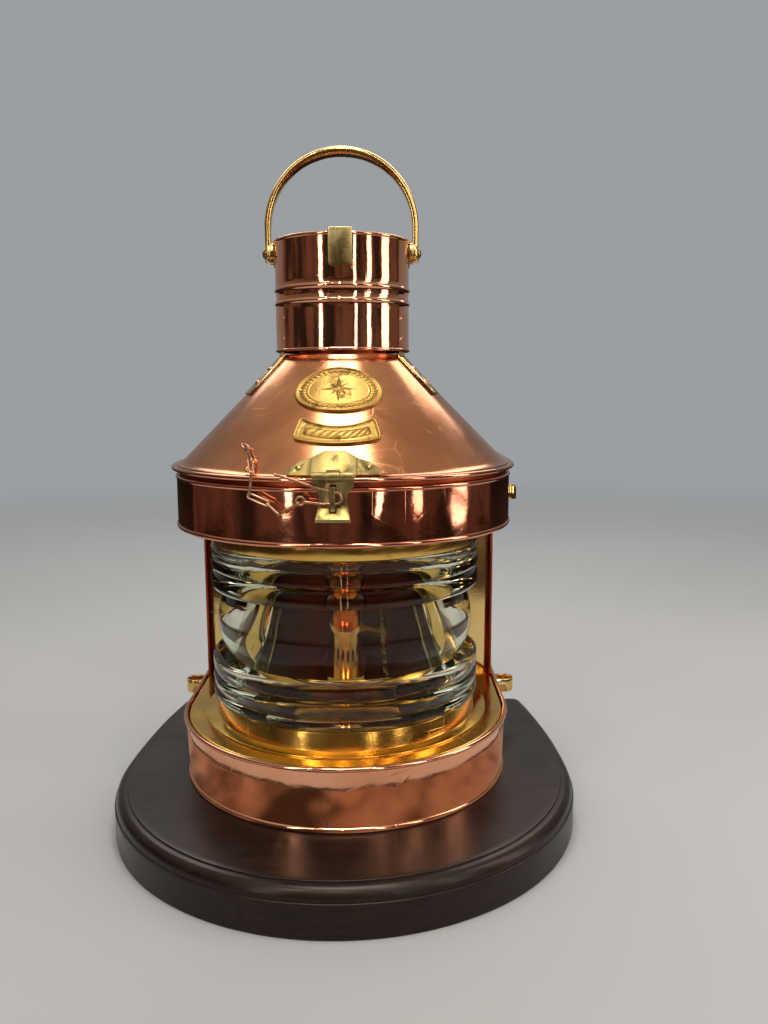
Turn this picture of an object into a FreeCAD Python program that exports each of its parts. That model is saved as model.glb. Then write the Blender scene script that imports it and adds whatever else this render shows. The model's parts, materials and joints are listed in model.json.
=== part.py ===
"""Ship's masthead lantern on a wooden plinth, built from separate solids.

Frame: millimetres, +Z up, the lantern faces -Y, +X is at the right seen from the front.
The origin is on the axis of the lens, at the underside of the plinth.
"""
import FreeCAD, Part
import math
import os

V = FreeCAD.Vector
ORIGIN = V(0, 0, 0)
X_AXIS = V(1, 0, 0)
Y_AXIS = V(0, 1, 0)
Z_AXIS = V(0, 0, 1)

# ---------------------------------------------------------------- driving dimensions
sheet = 1.2            # copper sheet
brass = 1.5            # brass plate
fit = 0.05             # radial clearance of a pin in its hole

plinth_height = 42.0
plinth_half = 223.0    # half width at its widest
plinth_back = 172.0
plinth_centre_y = -16.0
plinth_side_radius = 900.0
plinth_corner = 14.0
plinth_bead = 9.5      # quarter round on the top edge
plinth_quirk = 1.3     # small steps each side of the quarter round

foot = plinth_height   # the lantern's own foot stands on the plinth
body_half = 160.0      # half width of the body over its beads
body_back = 128.0      # flat back
back_corner = 9.0

base_height = 59.4
base_bead = 2.2
base_taper = 2.4       # the base is this much narrower at its foot, each side

tray_z = foot + 58.0
tray_opening_r = 116.0
seat_r = 127.0         # outer radius of the lens seat wall
seat_flange_r = 139.0

lens_low = foot + 77.3
lens_high = foot + 226.6
lens_inner_r = 108.0
lens_ring_r = 130.3
lens_notch_r = 125.2
lens_belt_r = 124.3
lens_belt_edge_r = 115.0
lens_belt_half = 32.6
lens_ring_heights = (18.6, 14.8, 8.6)
lens_end_angle = 33.7  # the lens stops this far behind the sides, degrees

plate_front_y = 86.0   # front edge of the side plates
plate_lean = 15.0      # degrees

band_low = foot + 244.2
band_high = foot + 294.0
band_bead = 2.3
band_wall_inset = 1.2

brim_top = foot + 301.9
brim_over = 3.3        # overhang of the brim over the body
brim_bead = 2.1
cone_foot_r = 155.2
cone_neck_r = 57.6
cone_neck_z = foot + 401.0
hood_back_y = 117.0

chimney_r = 62.7
chimney_low = foot + 404.9
chimney_high = foot + 506.7
chimney_bead = 1.6
groove_z = foot + 454.0

pivot_z = foot + 496.0
lug_r = 9.5
lug_x0 = 63.4
lug_x1 = 66.8
eye_r = 8.0
bail_path_r = 68.6
bail_spring_z = foot + 519.0
bail_top_width = 18.0
bail_end_width = 10.0
bail_top_thick = 8.4
bail_end_thick = 5.8
pivot_r = 3.0

hasp_y = -167.6        # axis of the hasp's knuckles
hasp_z = foot + 303.6
hasp_knuckle_r = 3.6
hasp_pin_r = 1.5
hasp_half = 16.5
strap_thick = 2.0

hinge_y = 136.4        # axis of the hood's hinge
hinge_z = foot + 299.8
hinge_knuckle_r = 4.0
hinge_pin_r = 1.9
hinge_half = 34.0

loop_y = 87.0          # guide loops on the sides
loop_x = 171.1         # a rod through the loops clears the brim
loop_outer_r = 9.9
loop_inner_r = 7.7
loop_height = 14.0

font_r = 50.0          # oil lamp
font_low = foot + 60.2
font_height = 40.0
burner_r = 13.5
focus_z = foot + 152.0
wick_half_x = 4.8
wick_half_y = 1.1


# ---------------------------------------------------------------- helpers
def keep(name, shape):
    """Write one node's STEP file."""
    shape.exportStep("parts/%s.step" % name)


def face_of(points):
    """Flat face with straight edges."""
    return Part.Face(Part.makePolygon(list(points) + [points[0]]))


def arc(a, b, c):
    return Part.Arc(a, b, c).toShape()


def line(a, b):
    return Part.LineSegment(a, b).toShape()


def turned(points, start=0.0, sweep=360.0):
    """Solid of revolution about the lens axis, from (radius, z) points."""
    face = face_of([V(r, 0, z) for r, z in points])
    face.rotate(ORIGIN, Z_AXIS, start)
    return face.revolve(ORIGIN, Z_AXIS, sweep)


def tube(r_out, r_in, z0, z1):
    return turned([(r_in, z0), (r_out, z0), (r_out, z1), (r_in, z1)])


def rod(point, direction, radius, length):
    return Part.makeCylinder(radius, length, point, direction)


def box(x0, x1, y0, y1, z0, z1):
    return Part.makeBox(x1 - x0, y1 - y0, z1 - z0, V(x0, y0, z0))


def mirrored(shape):
    """The same piece on the other side of the lantern."""
    return shape.mirror(ORIGIN, X_AXIS)


def group(shapes):
    """Separate solids in one node."""
    solids = []
    for shape in shapes:
        solids.extend(shape.Solids)
    return Part.makeCompound(solids)


def fused(shapes):
    return shapes[0].multiFuse(shapes[1:]).removeSplitter()


def u_wire(inset, z, corner=back_corner):
    """Plan outline of the body: half round in front, straight sides, flat back."""
    half = body_half - inset
    back = body_back - inset
    c = max(corner - inset, 1.0)
    k = c * (1 - math.sqrt(0.5))
    edges = [
        arc(V(-half, 0, z), V(0, -half, z), V(half, 0, z)),
        line(V(half, 0, z), V(half, back - c, z)),
        arc(V(half, back - c, z), V(half - k, back - k, z), V(half - c, back, z)),
        line(V(half - c, back, z), V(c - half, back, z)),
        arc(V(c - half, back, z), V(k - half, back - k, z), V(-half, back - c, z)),
        line(V(-half, back - c, z), V(-half, 0, z)),
    ]
    return Part.Wire(edges)


def u_plate(inset, z0, z1):
    return Part.Face(u_wire(inset, z0)).extrude(V(0, 0, z1 - z0))


def u_wall(inset, thick, z0, z1):
    return u_plate(inset, z0, z1).cut(u_plate(inset + thick, z0 - 1, z1 + 1))


def u_sweep(face):
    """Run a section, drawn in the XZ plane at the right side, round the whole outline."""
    straight = body_back - back_corner
    across = 2 * (body_half - back_corner)
    front = face.copy().revolve(ORIGIN, Z_AXIS, -180)
    side = face.extrude(V(0, straight, 0))
    turn = face.copy()
    turn.translate(V(0, straight, 0))
    centre = V(body_half - back_corner, straight, 0)
    corner_piece = turn.revolve(centre, Z_AXIS, 90)
    turn.rotate(centre, Z_AXIS, 90)
    back = turn.extrude(V(-across, 0, 0))
    return fused([front, side, mirrored(side), corner_piece, mirrored(corner_piece), back])


def u_bead(inset, z, radius):
    """Wired edge."""
    circle = Part.Circle(V(body_half - inset, 0, z), Y_AXIS, radius).toShape()
    return u_sweep(Part.Face(Part.Wire(circle)))


cone_run = cone_foot_r - cone_neck_r
cone_rise = cone_neck_z - brim_top
cone_slant = math.hypot(cone_run, cone_rise)
cone_normal = (cone_rise / cone_slant, cone_run / cone_slant)   # (radius, z)


def cone_z(radius):
    """Height of the hood's outer surface."""
    return brim_top + (cone_foot_r - radius) * cone_rise / cone_run


def off_cone(radius, lift):
    """Point in (radius, z) lifted off the hood's surface."""
    return radius + lift * cone_normal[0], cone_z(radius) + lift * cone_normal[1]


def cone_layer(r_low, r_high, lift0, lift1):
    """Conical shell that lies on the hood, between two lifts."""
    return turned([off_cone(r_low, lift0), off_cone(r_low, lift1),
                   off_cone(r_high, lift1), off_cone(r_high, lift0)])


def on_cone(radius, azimuth, lift=0.0):
    """Point on the hood; azimuth is degrees to the left of the front."""
    r, z = off_cone(radius, lift)
    a = math.radians(azimuth)
    return V(-r * math.sin(a), -r * math.cos(a), z)


def cone_out(azimuth):
    """Outward direction of the hood's surface."""
    a = math.radians(azimuth)
    return V(-cone_normal[0] * math.sin(a), -cone_normal[0] * math.cos(a), cone_normal[1])


def rivet(point, out, head_r, head_h, shank_r, shank_length):
    """Round head on a surface with its shank through the sheet; returns rivet and shank."""
    ball_r = (head_r ** 2 + head_h ** 2) / (2 * head_h)
    centre = point + out * (head_h - ball_r)
    ball = Part.makeSphere(ball_r, centre)
    head = ball.common(rod(point, out, head_r + 1, head_h + 1))
    shank = rod(point - out * shank_length, out, shank_r, shank_length)
    return head.fuse(shank).removeSplitter(), shank


def drilled(shape, tools):
    for tool in tools:
        shape = shape.cut(tool)
    return shape


# ---------------------------------------------------------------- plinth
def plinth_outline(inset, z):
    half = plinth_half - inset
    back = plinth_back - inset
    side_r = plinth_side_radius
    drop = back - plinth_corner - plinth_centre_y
    x_back = half - (side_r - math.sqrt(side_r ** 2 - drop ** 2))
    x_mid = half - (side_r - math.sqrt(side_r ** 2 - drop ** 2 / 4))
    y_mid = plinth_centre_y + drop / 2
    y_side = back - plinth_corner
    c = plinth_corner
    k = c * (1 - math.sqrt(0.5))
    y0 = plinth_centre_y
    edges = [
        arc(V(-half, y0, z), V(0, y0 - half, z), V(half, y0, z)),
        arc(V(half, y0, z), V(x_mid, y_mid, z), V(x_back, y_side, z)),
        arc(V(x_back, y_side, z), V(x_back - k, back - k, z), V(x_back - c, back, z)),
        line(V(x_back - c, back, z), V(c - x_back, back, z)),
        arc(V(c - x_back, back, z), V(k - x_back, back - k, z), V(-x_back, y_side, z)),
        arc(V(-x_back, y_side, z), V(-x_mid, y_mid, z), V(-half, y0, z)),
    ]
    return Part.Wire(edges)


def plinth_layer(inset, z0, z1):
    return Part.Face(plinth_outline(inset, z0)).extrude(V(0, 0, z1 - z0))


plinth_screw_spots = [(-95.0, -60.0), (95.0, -60.0), (0.0, 95.0)]
screw_head_r = 6.0
screw_head_h = 4.0
screw_r = 2.5
screw_recess = 22.0


def wooden_plinth():
    shoulder = plinth_height - plinth_bead - 2 * plinth_quirk
    body = plinth_layer(0, 0, shoulder)
    step_z = plinth_height - plinth_quirk
    round_body = plinth_layer(plinth_quirk, shoulder, step_z)
    top_edges = [e for e in round_body.Edges
                 if abs(e.BoundBox.ZMin - step_z) < 1e-6 and abs(e.BoundBox.ZMax - step_z) < 1e-6]
    rounded = round_body.makeFillet(plinth_bead, top_edges)
    crown = plinth_layer(plinth_quirk + plinth_bead + plinth_quirk, step_z - 0.5, plinth_height)
    wood = fused([body, rounded, crown])
    for x, y in plinth_screw_spots:
        wood = wood.cut(rod(V(x, y, -1), Z_AXIS, screw_head_r + 1.5, screw_recess + 1))
        wood = wood.cut(rod(V(x, y, 0), Z_AXIS, screw_r, plinth_height + 1))
    return wood


def plinth_screws():
    screws = []
    for x, y in plinth_screw_spots:
        head = rod(V(x, y, screw_recess - screw_head_h), Z_AXIS, screw_head_r, screw_head_h)
        shank = rod(V(x, y, screw_recess), Z_AXIS, screw_r, foot + 2 + sheet - screw_recess)
        slot = box(x - screw_head_r, x + screw_head_r, y - 0.7, y + 0.7,
                   screw_recess - screw_head_h - 1, screw_recess - screw_head_h + 1.4)
        screws.append(head.fuse(shank).removeSplitter().cut(slot))
    return group(screws)


# ---------------------------------------------------------------- base
base_wall_inset = 1.6
base_top = foot + base_height
loop_rivet_r = 1.6


def tapered_drum(inset, overlap):
    """Solid drum, narrower at its foot; overlap makes it run past the beads at both ends."""
    low = u_wire(base_taper + inset, foot + base_bead - overlap)
    high = u_wire(inset, base_top - base_bead + overlap)
    return Part.makeLoft([low, high], True, True)


def base_shell():
    wall = tapered_drum(base_wall_inset, 0).cut(tapered_drum(base_wall_inset + sheet, 1))
    low_bead = u_bead(base_taper + base_bead, foot + base_bead, base_bead)
    high_bead = u_bead(base_bead - 0.4, base_top - base_bead, base_bead)
    return fused([wall, low_bead, high_bead])


def base_floor():
    inset = base_wall_inset + base_taper + sheet + 1.6
    plate = u_plate(inset, foot + 2, foot + 2 + sheet)
    return drilled(plate, [rod(V(x, y, foot), Z_AXIS, screw_r, 9) for x, y in plinth_screw_spots])


def tray():
    inset = base_bead * 2 + 0.3
    plate = u_plate(inset, tray_z - brass, tray_z)
    skirt = u_wall(inset, brass, tray_z - 9, tray_z - brass)
    opening = rod(V(0, 0, tray_z - 5), Z_AXIS, tray_opening_r, 10)
    return fused([plate, skirt]).cut(opening)


def lamp_platform():
    """Pan under the tray that carries the lamp, with a ring that locates it."""
    low = tray_z - brass - sheet
    ring = tube(font_r + 4.0, font_r + 4.0 - brass, tray_z - brass, font_low + 9)
    return fused([rod(V(0, 0, low), Z_AXIS, tray_opening_r + 5, sheet), ring])


# ---------------------------------------------------------------- lens and its frame
lens_sweep = -(180 + 2 * lens_end_angle)


def lens_arc(points):
    return turned(points, lens_end_angle, lens_sweep)


def lens_ring_edges(belt_z, outer_z):
    """Bulging outer face of one prism ring, from its outer edge to the belt side."""
    rise = outer_z - belt_z
    lip = V(lens_ring_r - 0.5, 0, belt_z + rise * 0.12)
    edges = [
        arc(V(lens_notch_r, 0, outer_z), V(lens_ring_r - 0.9, 0, belt_z + rise * 0.6), lip),
        line(lip, V(lens_ring_r - 2.8, 0, belt_z)),
    ]
    return edges


def lens():
    """Dioptric drum lens: a convex belt with three prism rings above and below."""
    centre = (lens_low + lens_high) / 2
    edges = []
    for side in (1, -1):
        belt_z = centre + side * lens_belt_half
        inner_point = V(lens_belt_edge_r, 0, belt_z)
        for height in lens_ring_heights:
            outer_z = belt_z + side * height
            edges.append(line(inner_point, V(lens_ring_r - 2.8, 0, belt_z)))
            edges.extend(lens_ring_edges(belt_z, outer_z))
            inner_point = V(lens_notch_r, 0, outer_z)
            belt_z = outer_z
        edges.append(line(inner_point, V(lens_inner_r, 0, belt_z)))
    edges.append(arc(V(lens_belt_edge_r, 0, centre - lens_belt_half), V(lens_belt_r, 0, centre),
                     V(lens_belt_edge_r, 0, centre + lens_belt_half)))
    glass_low = centre - lens_belt_half - sum(lens_ring_heights)
    glass_high = centre + lens_belt_half + sum(lens_ring_heights)
    edges.append(line(V(lens_inner_r, 0, glass_low), V(lens_inner_r, 0, glass_high)))
    face = Part.Face(Part.Wire(Part.__sortEdges__(edges)))
    face.rotate(ORIGIN, Z_AXIS, lens_end_angle)
    return face.revolve(ORIGIN, Z_AXIS, lens_sweep)


lens_centre = (lens_low + lens_high) / 2
glass_half = lens_belt_half + sum(lens_ring_heights)
glass_low = lens_centre - glass_half
glass_high = lens_centre + glass_half
deck_z = band_low + 1.8

end_a = math.radians(lens_end_angle)
end_out = V(math.cos(end_a), math.sin(end_a), 0)       # along the lens end, right side
end_back = V(-math.sin(end_a), math.cos(end_a), 0)     # away from the glass
housing_half = 156.0
housing_back = body_back - 4.8
housing_low = tray_z
housing_high = deck_z
plate_outer = V(housing_half - 2.6, plate_front_y, 0)
plate_bend = end_out * (lens_ring_r + 2.0) + end_back * 0.6


def lens_gasket(z0, z1):
    return lens_arc([(lens_inner_r + 2, z0), (lens_notch_r - 1, z0),
                     (lens_notch_r - 1, z1), (lens_inner_r + 2, z1)])


def lens_seat_ring():
    ledge = glass_low - 1.0
    wall_in = seat_r - brass
    ring = lens_arc([(wall_in, tray_z), (seat_flange_r, tray_z), (seat_flange_r, tray_z + brass),
                     (seat_r, tray_z + brass), (seat_r, ledge), (lens_inner_r + 1, ledge),
                     (lens_inner_r + 1, ledge - brass), (wall_in, ledge - brass)])
    behind = face_of([plate_outer, plate_bend, plate_bend + end_back * 30,
                      plate_outer + V(0, 30, 0)]).extrude(V(0, 0, 400))
    return ring.cut(behind).cut(mirrored(behind))


def lens_top_ring():
    ledge = glass_high + 1.0
    wall_in = seat_r - brass
    return lens_arc([(lens_inner_r + 1, ledge), (seat_r, ledge), (seat_r, deck_z),
                     (wall_in, deck_z), (wall_in, ledge + brass),
                     (lens_inner_r + 1, ledge + brass)])



def side_plate():
    """Right-hand brass plate from the housing's edge to the end of the lens, folded at the glass."""
    lean = math.radians(plate_lean)
    tip = end_out * (lens_inner_r - 6.0) + end_back * 0.6
    step = end_back * brass
    lean_step = V(-math.sin(lean), math.cos(lean), 0) * brass
    plan = [plate_outer, plate_bend, tip, tip + step, plate_bend + step, plate_outer + lean_step]
    return face_of([p + V(0, 0, housing_low) for p in plan]).extrude(V(0, 0, housing_high - housing_low))


clamp_levels = [lens_centre - 60.0, lens_centre, lens_centre + 60.0]
clamp_screw_r = 1.6


def lens_clamp():
    """Right-hand angle strip inside the lens end."""
    inner = lens_inner_r - 0.6
    low = glass_low + 1
    height = glass_high - glass_low - 2
    tip = end_out * inner
    leg = end_out * (inner - 10)
    a = face_of([p + V(0, 0, low) for p in (
        tip + end_back * 0.5, leg + end_back * 0.5, leg - end_back * 1.0, tip - end_back * 1.0)])
    turn = end_out * brass
    b = face_of([p + V(0, 0, low) for p in (
        tip - end_back * 1.0, tip - turn - end_back * 1.0, tip - turn - end_back * 9.0,
        tip - end_back * 8.6)])
    up = V(0, 0, height)
    return fused([a.extrude(up), b.extrude(up)])


def clamp_screws_right():
    screws = []
    for level in clamp_levels:
        start = end_out * (lens_inner_r - 5.0) - end_back * 1.0 + V(0, 0, level)
        head = rod(start, end_back * -1, 2.8, 1.6)
        shank = rod(start, end_back, clamp_screw_r, 1.6 + brass + 1.5)
        screws.append(head.fuse(shank).removeSplitter())
    return screws


# ---------------------------------------------------------------- rear housing, band and deck
hem = 4.2


def housing_outline(inset):
    half = housing_half - inset
    back = housing_back - inset
    c = max(6.0 - inset, 1.0)
    k = c * (1 - math.sqrt(0.5))
    z = housing_low
    y0 = plate_front_y + 1.0
    edges = [
        line(V(half, y0, z), V(half, back - c, z)),
        arc(V(half, back - c, z), V(half - k, back - k, z), V(half - c, back, z)),
        line(V(half - c, back, z), V(c - half, back, z)),
        arc(V(c - half, back, z), V(k - half, back - k, z), V(-half, back - c, z)),
        line(V(-half, back - c, z), V(-half, y0, z)),
        line(V(-half, y0, z), V(half, y0, z)),
    ]
    return Part.Face(Part.Wire(edges)).extrude(V(0, 0, housing_high - housing_low))


def rear_housing():
    """U-shaped copper sheet closing the back, its front edges folded round the side plates."""
    walls = housing_outline(0).cut(housing_outline(sheet))
    front = box(-housing_half + sheet, housing_half - sheet, plate_front_y - 20,
                plate_front_y + 1.0 + sheet, housing_low - 1, housing_high + 1)
    walls = walls.cut(front)
    fold = box(housing_half - 2.2, housing_half, plate_front_y - hem, plate_front_y + 1.0,
               housing_low, housing_high)
    shell = fused([walls, fold, mirrored(fold)])
    return shell.cut(u_bead(band_bead, band_low + band_bead, band_bead + 0.05))


def band():
    wall = u_wall(band_wall_inset, sheet, band_low + band_bead, band_high - band_bead)
    low_bead = u_bead(band_bead, band_low + band_bead, band_bead)
    high_bead = u_bead(band_bead + 0.2, band_high - band_bead, band_bead)
    return fused([wall, low_bead, high_bead])


def band_deck():
    """Plate across the foot of the band, open over the lamp."""
    plate = u_plate(band_bead * 2 + 0.2, deck_z, deck_z + sheet)
    return plate.cut(rod(V(0, 0, deck_z - 1), Z_AXIS, seat_r - 8, 5))


# ---------------------------------------------------------------- guide loops and staple
loop_wall_x = 158.9
loop_plate_half = 22.0
loop_rivet_offset = 17.0


def guide_loop(z_mid):
    """Right-hand loop: an eye standing off a riveted plate."""
    low = z_mid - loop_height / 2
    ring = rod(V(loop_x, loop_y, low), Z_AXIS, loop_outer_r, loop_height)
    neck = box(loop_wall_x, loop_x, loop_y - loop_outer_r, loop_y + loop_outer_r, low,
               low + loop_height)
    plate = box(loop_wall_x, loop_wall_x + brass, loop_y - loop_plate_half,
                loop_y + loop_plate_half, low, low + loop_height)
    bore = rod(V(loop_x, loop_y, low - 1), Z_AXIS, loop_inner_r, loop_height + 2)
    return fused([ring, neck, plate]).cut(bore)


loop_levels = {"lower": foot + 46.0, "upper": foot + 260.0}


def loop_rivets(z_mid):
    rivets, shanks = [], []
    for y in (loop_y - loop_rivet_offset, loop_y + loop_rivet_offset):
        piece, shank = rivet(V(loop_wall_x + brass, y, z_mid), X_AXIS, 3.2, 1.8,
                             loop_rivet_r, brass + 3.4)
        rivets.append(piece)
        shanks.append(shank)
    return rivets, shanks


wire_y = hasp_y + 0.2          # plane of the lock pin
wire_r = 1.1
eye_low = foot + 278.6
eye_high = foot + 293.6
staple_half = 1.8
staple_bar = 2.2
staple_out = wire_y - wire_r - 0.3 - staple_bar


def hasp_staple():
    """Loop on the band that the strap drops over."""
    back = -(body_half - band_wall_inset)
    outer = box(hasp_x - staple_half, hasp_x + staple_half, staple_out, back, eye_low - staple_bar,
                eye_high + staple_bar)
    outer = outer.cut(u_bead(band_bead + 0.2, band_high - band_bead, band_bead + 0.05))
    hole = box(-staple_half - 5, staple_half + 5, staple_out + staple_bar, back - brass, eye_low,
               eye_high)
    return outer.cut(hole)


# ---------------------------------------------------------------- hood
hood_opening_r = cone_foot_r - 3.0


def hood_brim():
    """Flat brim with a wired edge; the cone stands on it."""
    edge = brim_over
    plate_low = brim_top - brass
    scale_out = Part.Face(u_wire(-edge + brim_bead, plate_low)).extrude(V(0, 0, brass))
    hole = rod(V(0, 0, plate_low - 1), Z_AXIS, hood_opening_r, 5)
    hole = hole.common(box(-200, 200, -200, hood_back_y - 3, plate_low - 1, brim_top + 1))
    bead = u_bead(-edge + brim_bead, brim_top - brim_bead, brim_bead)
    return fused([scale_out, bead]).cut(hole)


def hood_cone():
    cone = turned([(cone_foot_r, brim_top), (cone_neck_r, cone_neck_z),
                   (cone_neck_r - sheet * 1.5, cone_neck_z),
                   (cone_foot_r - sheet * 1.5, brim_top)])
    return cone.cut(box(-200, 200, hood_back_y - sheet, 200, brim_top - 1, cone_neck_z))


def hood_back_panel():
    """Flat panel that closes the clipped back of the cone."""
    solid_cone = turned([(0.01, brim_top), (cone_foot_r - 0.01, brim_top),
                         (cone_neck_r, cone_neck_z - 0.01), (0.01, cone_neck_z - 0.01)])
    slab = box(-200, 200, hood_back_y - sheet, hood_back_y, brim_top, cone_neck_z)
    return slab.common(solid_cone)


def hood_skirt():
    """Spigot under the brim that drops inside the band."""
    return u_wall(5.6, sheet, brim_top - brass - 15.0, brim_top - brass)


flue_r = 41.0
flue_top = foot + 436.0


def flue_tube():
    """Short pipe from the cone's neck up into the chimney."""
    flange = tube(cone_neck_r, flue_r - sheet, cone_neck_z, cone_neck_z + sheet)
    pipe = tube(flue_r, flue_r - sheet, cone_neck_z + sheet, flue_top)
    return fused([flange, pipe])


baffle_z = foot + 466.0
baffle_r = 48.0
baffle_leg_azimuths = (30.0, 150.0, 270.0)


def draught_baffle():
    """Disc over the flue on three legs; the smoke leaves round its edge."""
    disc = turned([(0, baffle_z + 5.0), (baffle_r, baffle_z), (baffle_r, baffle_z + sheet),
                   (0, baffle_z + 5.0 + sheet)])
    pieces = [disc]
    for azimuth in baffle_leg_azimuths:
        leg = box(flue_r, flue_r + brass, -5, 5, flue_top - 14, baffle_z + 1.0)
        leg.rotate(ORIGIN, Z_AXIS, azimuth)
        pieces.append(leg)
    return fused(pieces)


def chimney_shell():
    """Chimney wall with a wired rim, a flanged foot and a double swage."""
    wall_in = chimney_r - sheet
    r = chimney_r
    z0 = chimney_low
    z1 = chimney_high
    swell = 1.0
    half = 4.2
    rows = [groove_z - 2 * half, groove_z, groove_z + 2 * half]
    low_ridge = arc(V(r, 0, rows[0]), V(r + swell, 0, rows[0] + half), V(r, 0, rows[1]))
    high_ridge = arc(V(r, 0, rows[1]), V(r + swell, 0, rows[1] + half), V(r, 0, rows[2]))
    edges = [
        line(V(wall_in, 0, z0), V(r, 0, z0)),
        line(V(r, 0, z0), V(r, 0, rows[0])),
        low_ridge,
        high_ridge,
        line(V(r, 0, rows[2]), V(r, 0, z1 - 1)),
        line(V(r, 0, z1 - 1), V(wall_in, 0, z1 - 1)),
        line(V(wall_in, 0, z1 - 1), V(wall_in, 0, z0)),
    ]
    wall = Part.Face(Part.Wire(edges)).revolve(ORIGIN, Z_AXIS, 360)
    rim = Part.makeTorus(r - 0.1, chimney_bead, V(0, 0, z1 - chimney_bead), Z_AXIS)
    flange = Part.makeTorus(r - 0.4, chimney_bead * 0.85, V(0, 0, z0 + chimney_bead * 0.85), Z_AXIS)
    return fused([wall, rim, flange])


# ---------------------------------------------------------------- chimney brackets
bracket_azimuth = -68.0
bracket_half = 7.0
bracket_r0 = 58.6
bracket_r1 = 92.5
bracket_thick = 2.0
bracket_leg = 8.0              # how far it reaches up inside the chimney
bracket_rivet_radii = (70.5, 82.5)


def chimney_bracket():
    """Right-hand Z-strip from inside the chimney's foot down along the cone."""
    lift = 0.15
    top_x = chimney_r - sheet - 1.1
    p0 = off_cone(bracket_r1, lift)
    p1 = off_cone(bracket_r0, lift)
    p2 = off_cone(bracket_r0 + 2.0, lift + bracket_thick)
    p3 = off_cone(bracket_r1, lift + bracket_thick)
    slope_leg = [p0, p1, (top_x - bracket_thick, chimney_low - 4.0),
                 (top_x - bracket_thick, chimney_low + bracket_leg), (top_x, chimney_low + bracket_leg),
                 (top_x, chimney_low - 4.0), p2, p3]
    face = face_of([V(x, -bracket_half, z) for x, z in slope_leg])
    strip = face.extrude(V(0, 2 * bracket_half, 0))
    strip.rotate(ORIGIN, Z_AXIS, -90.0 - bracket_azimuth)
    return strip


def side_rivet_right(radius):
    """Rivet through the right-hand bracket and the cone."""
    point = on_cone(radius, bracket_azimuth, 0.15 + bracket_thick)
    return rivet(point, cone_out(bracket_azimuth), 2.6, 1.5, 1.4, bracket_thick + 2.2)


chimney_rivet_azimuths = (56.0, -61.0)
chimney_rivet_levels = (foot + 434.0, foot + 415.5)


def chimney_rivet_set():
    rivets, shanks = [], []
    for azimuth in chimney_rivet_azimuths:
        a = math.radians(azimuth)
        out = V(-math.sin(a), -math.cos(a), 0)
        for level in chimney_rivet_levels:
            piece, shank = rivet(out * chimney_r + V(0, 0, level), out, 1.9, 1.2, 1.0, 2.0)
            rivets.append(piece)
            shanks.append(shank)
    return rivets, shanks


clip_half = 10.5
clip_x = 1.3


def rim_clip():
    """Brass clip folded over the rim at the front."""
    front = chimney_r + chimney_bead - 0.1
    inside = chimney_r - chimney_bead - 0.8
    top = chimney_high + 0.3
    t = 1.4
    profile = [(front + 0.3, foot + 477.0), (front + 0.3, top), (inside - 0.7, top),
               (inside - 0.7, foot + 488.0), (inside - 0.7 - t, foot + 488.0),
               (inside - 0.7 - t, top + t + 1.0), (front + 0.3 + t, top + t + 1.0),
               (front + 0.3 + t, foot + 477.0)]
    solid = face_of([V(clip_x - clip_half, -r, z) for r, z in profile]).extrude(V(2 * clip_half, 0, 0))
    low_edges = [e for e in solid.Edges
                 if e.BoundBox.ZMax < foot + 477.5 and e.BoundBox.XLength < 1e-3]
    return solid.makeFillet(3.5, low_edges)


# ---------------------------------------------------------------- bail
def bail_lug():
    """Right-hand boss on the chimney: a round plate on a curved pad."""
    disc = rod(V(lug_x0, 0, pivot_z), X_AXIS, lug_r, lug_x1 - lug_x0)
    pad = box(56.0, lug_x0, -6.5, 6.5, pivot_z - 13.0, pivot_z + 5.0)
    pad = pad.cut(rod(V(0, 0, pivot_z - 40), Z_AXIS, chimney_r + 0.05, 80))
    solid = disc.fuse(pad).removeSplitter()
    shell = rod(V(0, 0, pivot_z - 40), Z_AXIS, chimney_r + 0.05, 80)
    rim = Part.makeTorus(chimney_r - 0.1, chimney_bead + 0.15,
                         V(0, 0, chimney_high - chimney_bead), Z_AXIS)
    return solid.cut(shell).cut(rim).cut(rod(V(50, 0, pivot_z), X_AXIS, pivot_r, 30))


bail_eye_x0 = lug_x1 + 0.4
bail_eye_x1 = bail_eye_x0 + 4.6


def bail_section(station):
    """Half-oval section at a station from -1 (left eye) through 0 (top) to 1 (right eye)."""
    straight = bail_spring_z - pivot_z
    bend = math.pi / 2 * bail_path_r
    along = abs(station) * (straight + bend)
    side = 1 if station >= 0 else -1
    t = abs(station)
    width = bail_top_width + (bail_end_width - bail_top_width) * t
    thick = bail_top_thick + (bail_end_thick - bail_top_thick) * t
    if along <= bend:
        a = along / bail_path_r
        centre = V(side * bail_path_r * math.sin(a), 0, bail_spring_z + bail_path_r * math.cos(a))
        out = V(side * math.sin(a), 0, math.cos(a))
    else:
        centre = V(side * bail_path_r, 0, bail_spring_z - (along - bend))
        out = V(side, 0, 0)
    w = V(0, width / 2, 0)
    inner = centre - out * (thick / 2)
    crown = centre + out * (thick / 2)
    shoulder = centre - out * (thick * 0.12)
    return Part.Wire([
        line(inner - w * 0.8, inner + w * 0.8),
        arc(inner + w * 0.8, inner + w * 0.97 + out * (thick * 0.14), shoulder + w),
        arc(shoulder + w, crown, shoulder - w),
        arc(shoulder - w, inner - w * 0.97 + out * (thick * 0.14), inner - w * 0.8),
    ])


def bail():
    stations = 26
    wires = [bail_section(-1 + 2 * i / stations) for i in range(stations + 1)]
    bar = Part.makeLoft(wires, True, False)
    eye = rod(V(bail_eye_x0, 0, pivot_z), X_AXIS, eye_r, bail_eye_x1 - bail_eye_x0)
    trim = box(-bail_eye_x0, bail_eye_x0, -20, 20, pivot_z - 10, bail_spring_z - 8)
    bar = bar.cut(trim)
    solid = fused([bar, eye, mirrored(eye)])
    hole = rod(V(-90, 0, pivot_z), X_AXIS, pivot_r + fit, 180)
    return solid.cut(hole)


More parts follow.
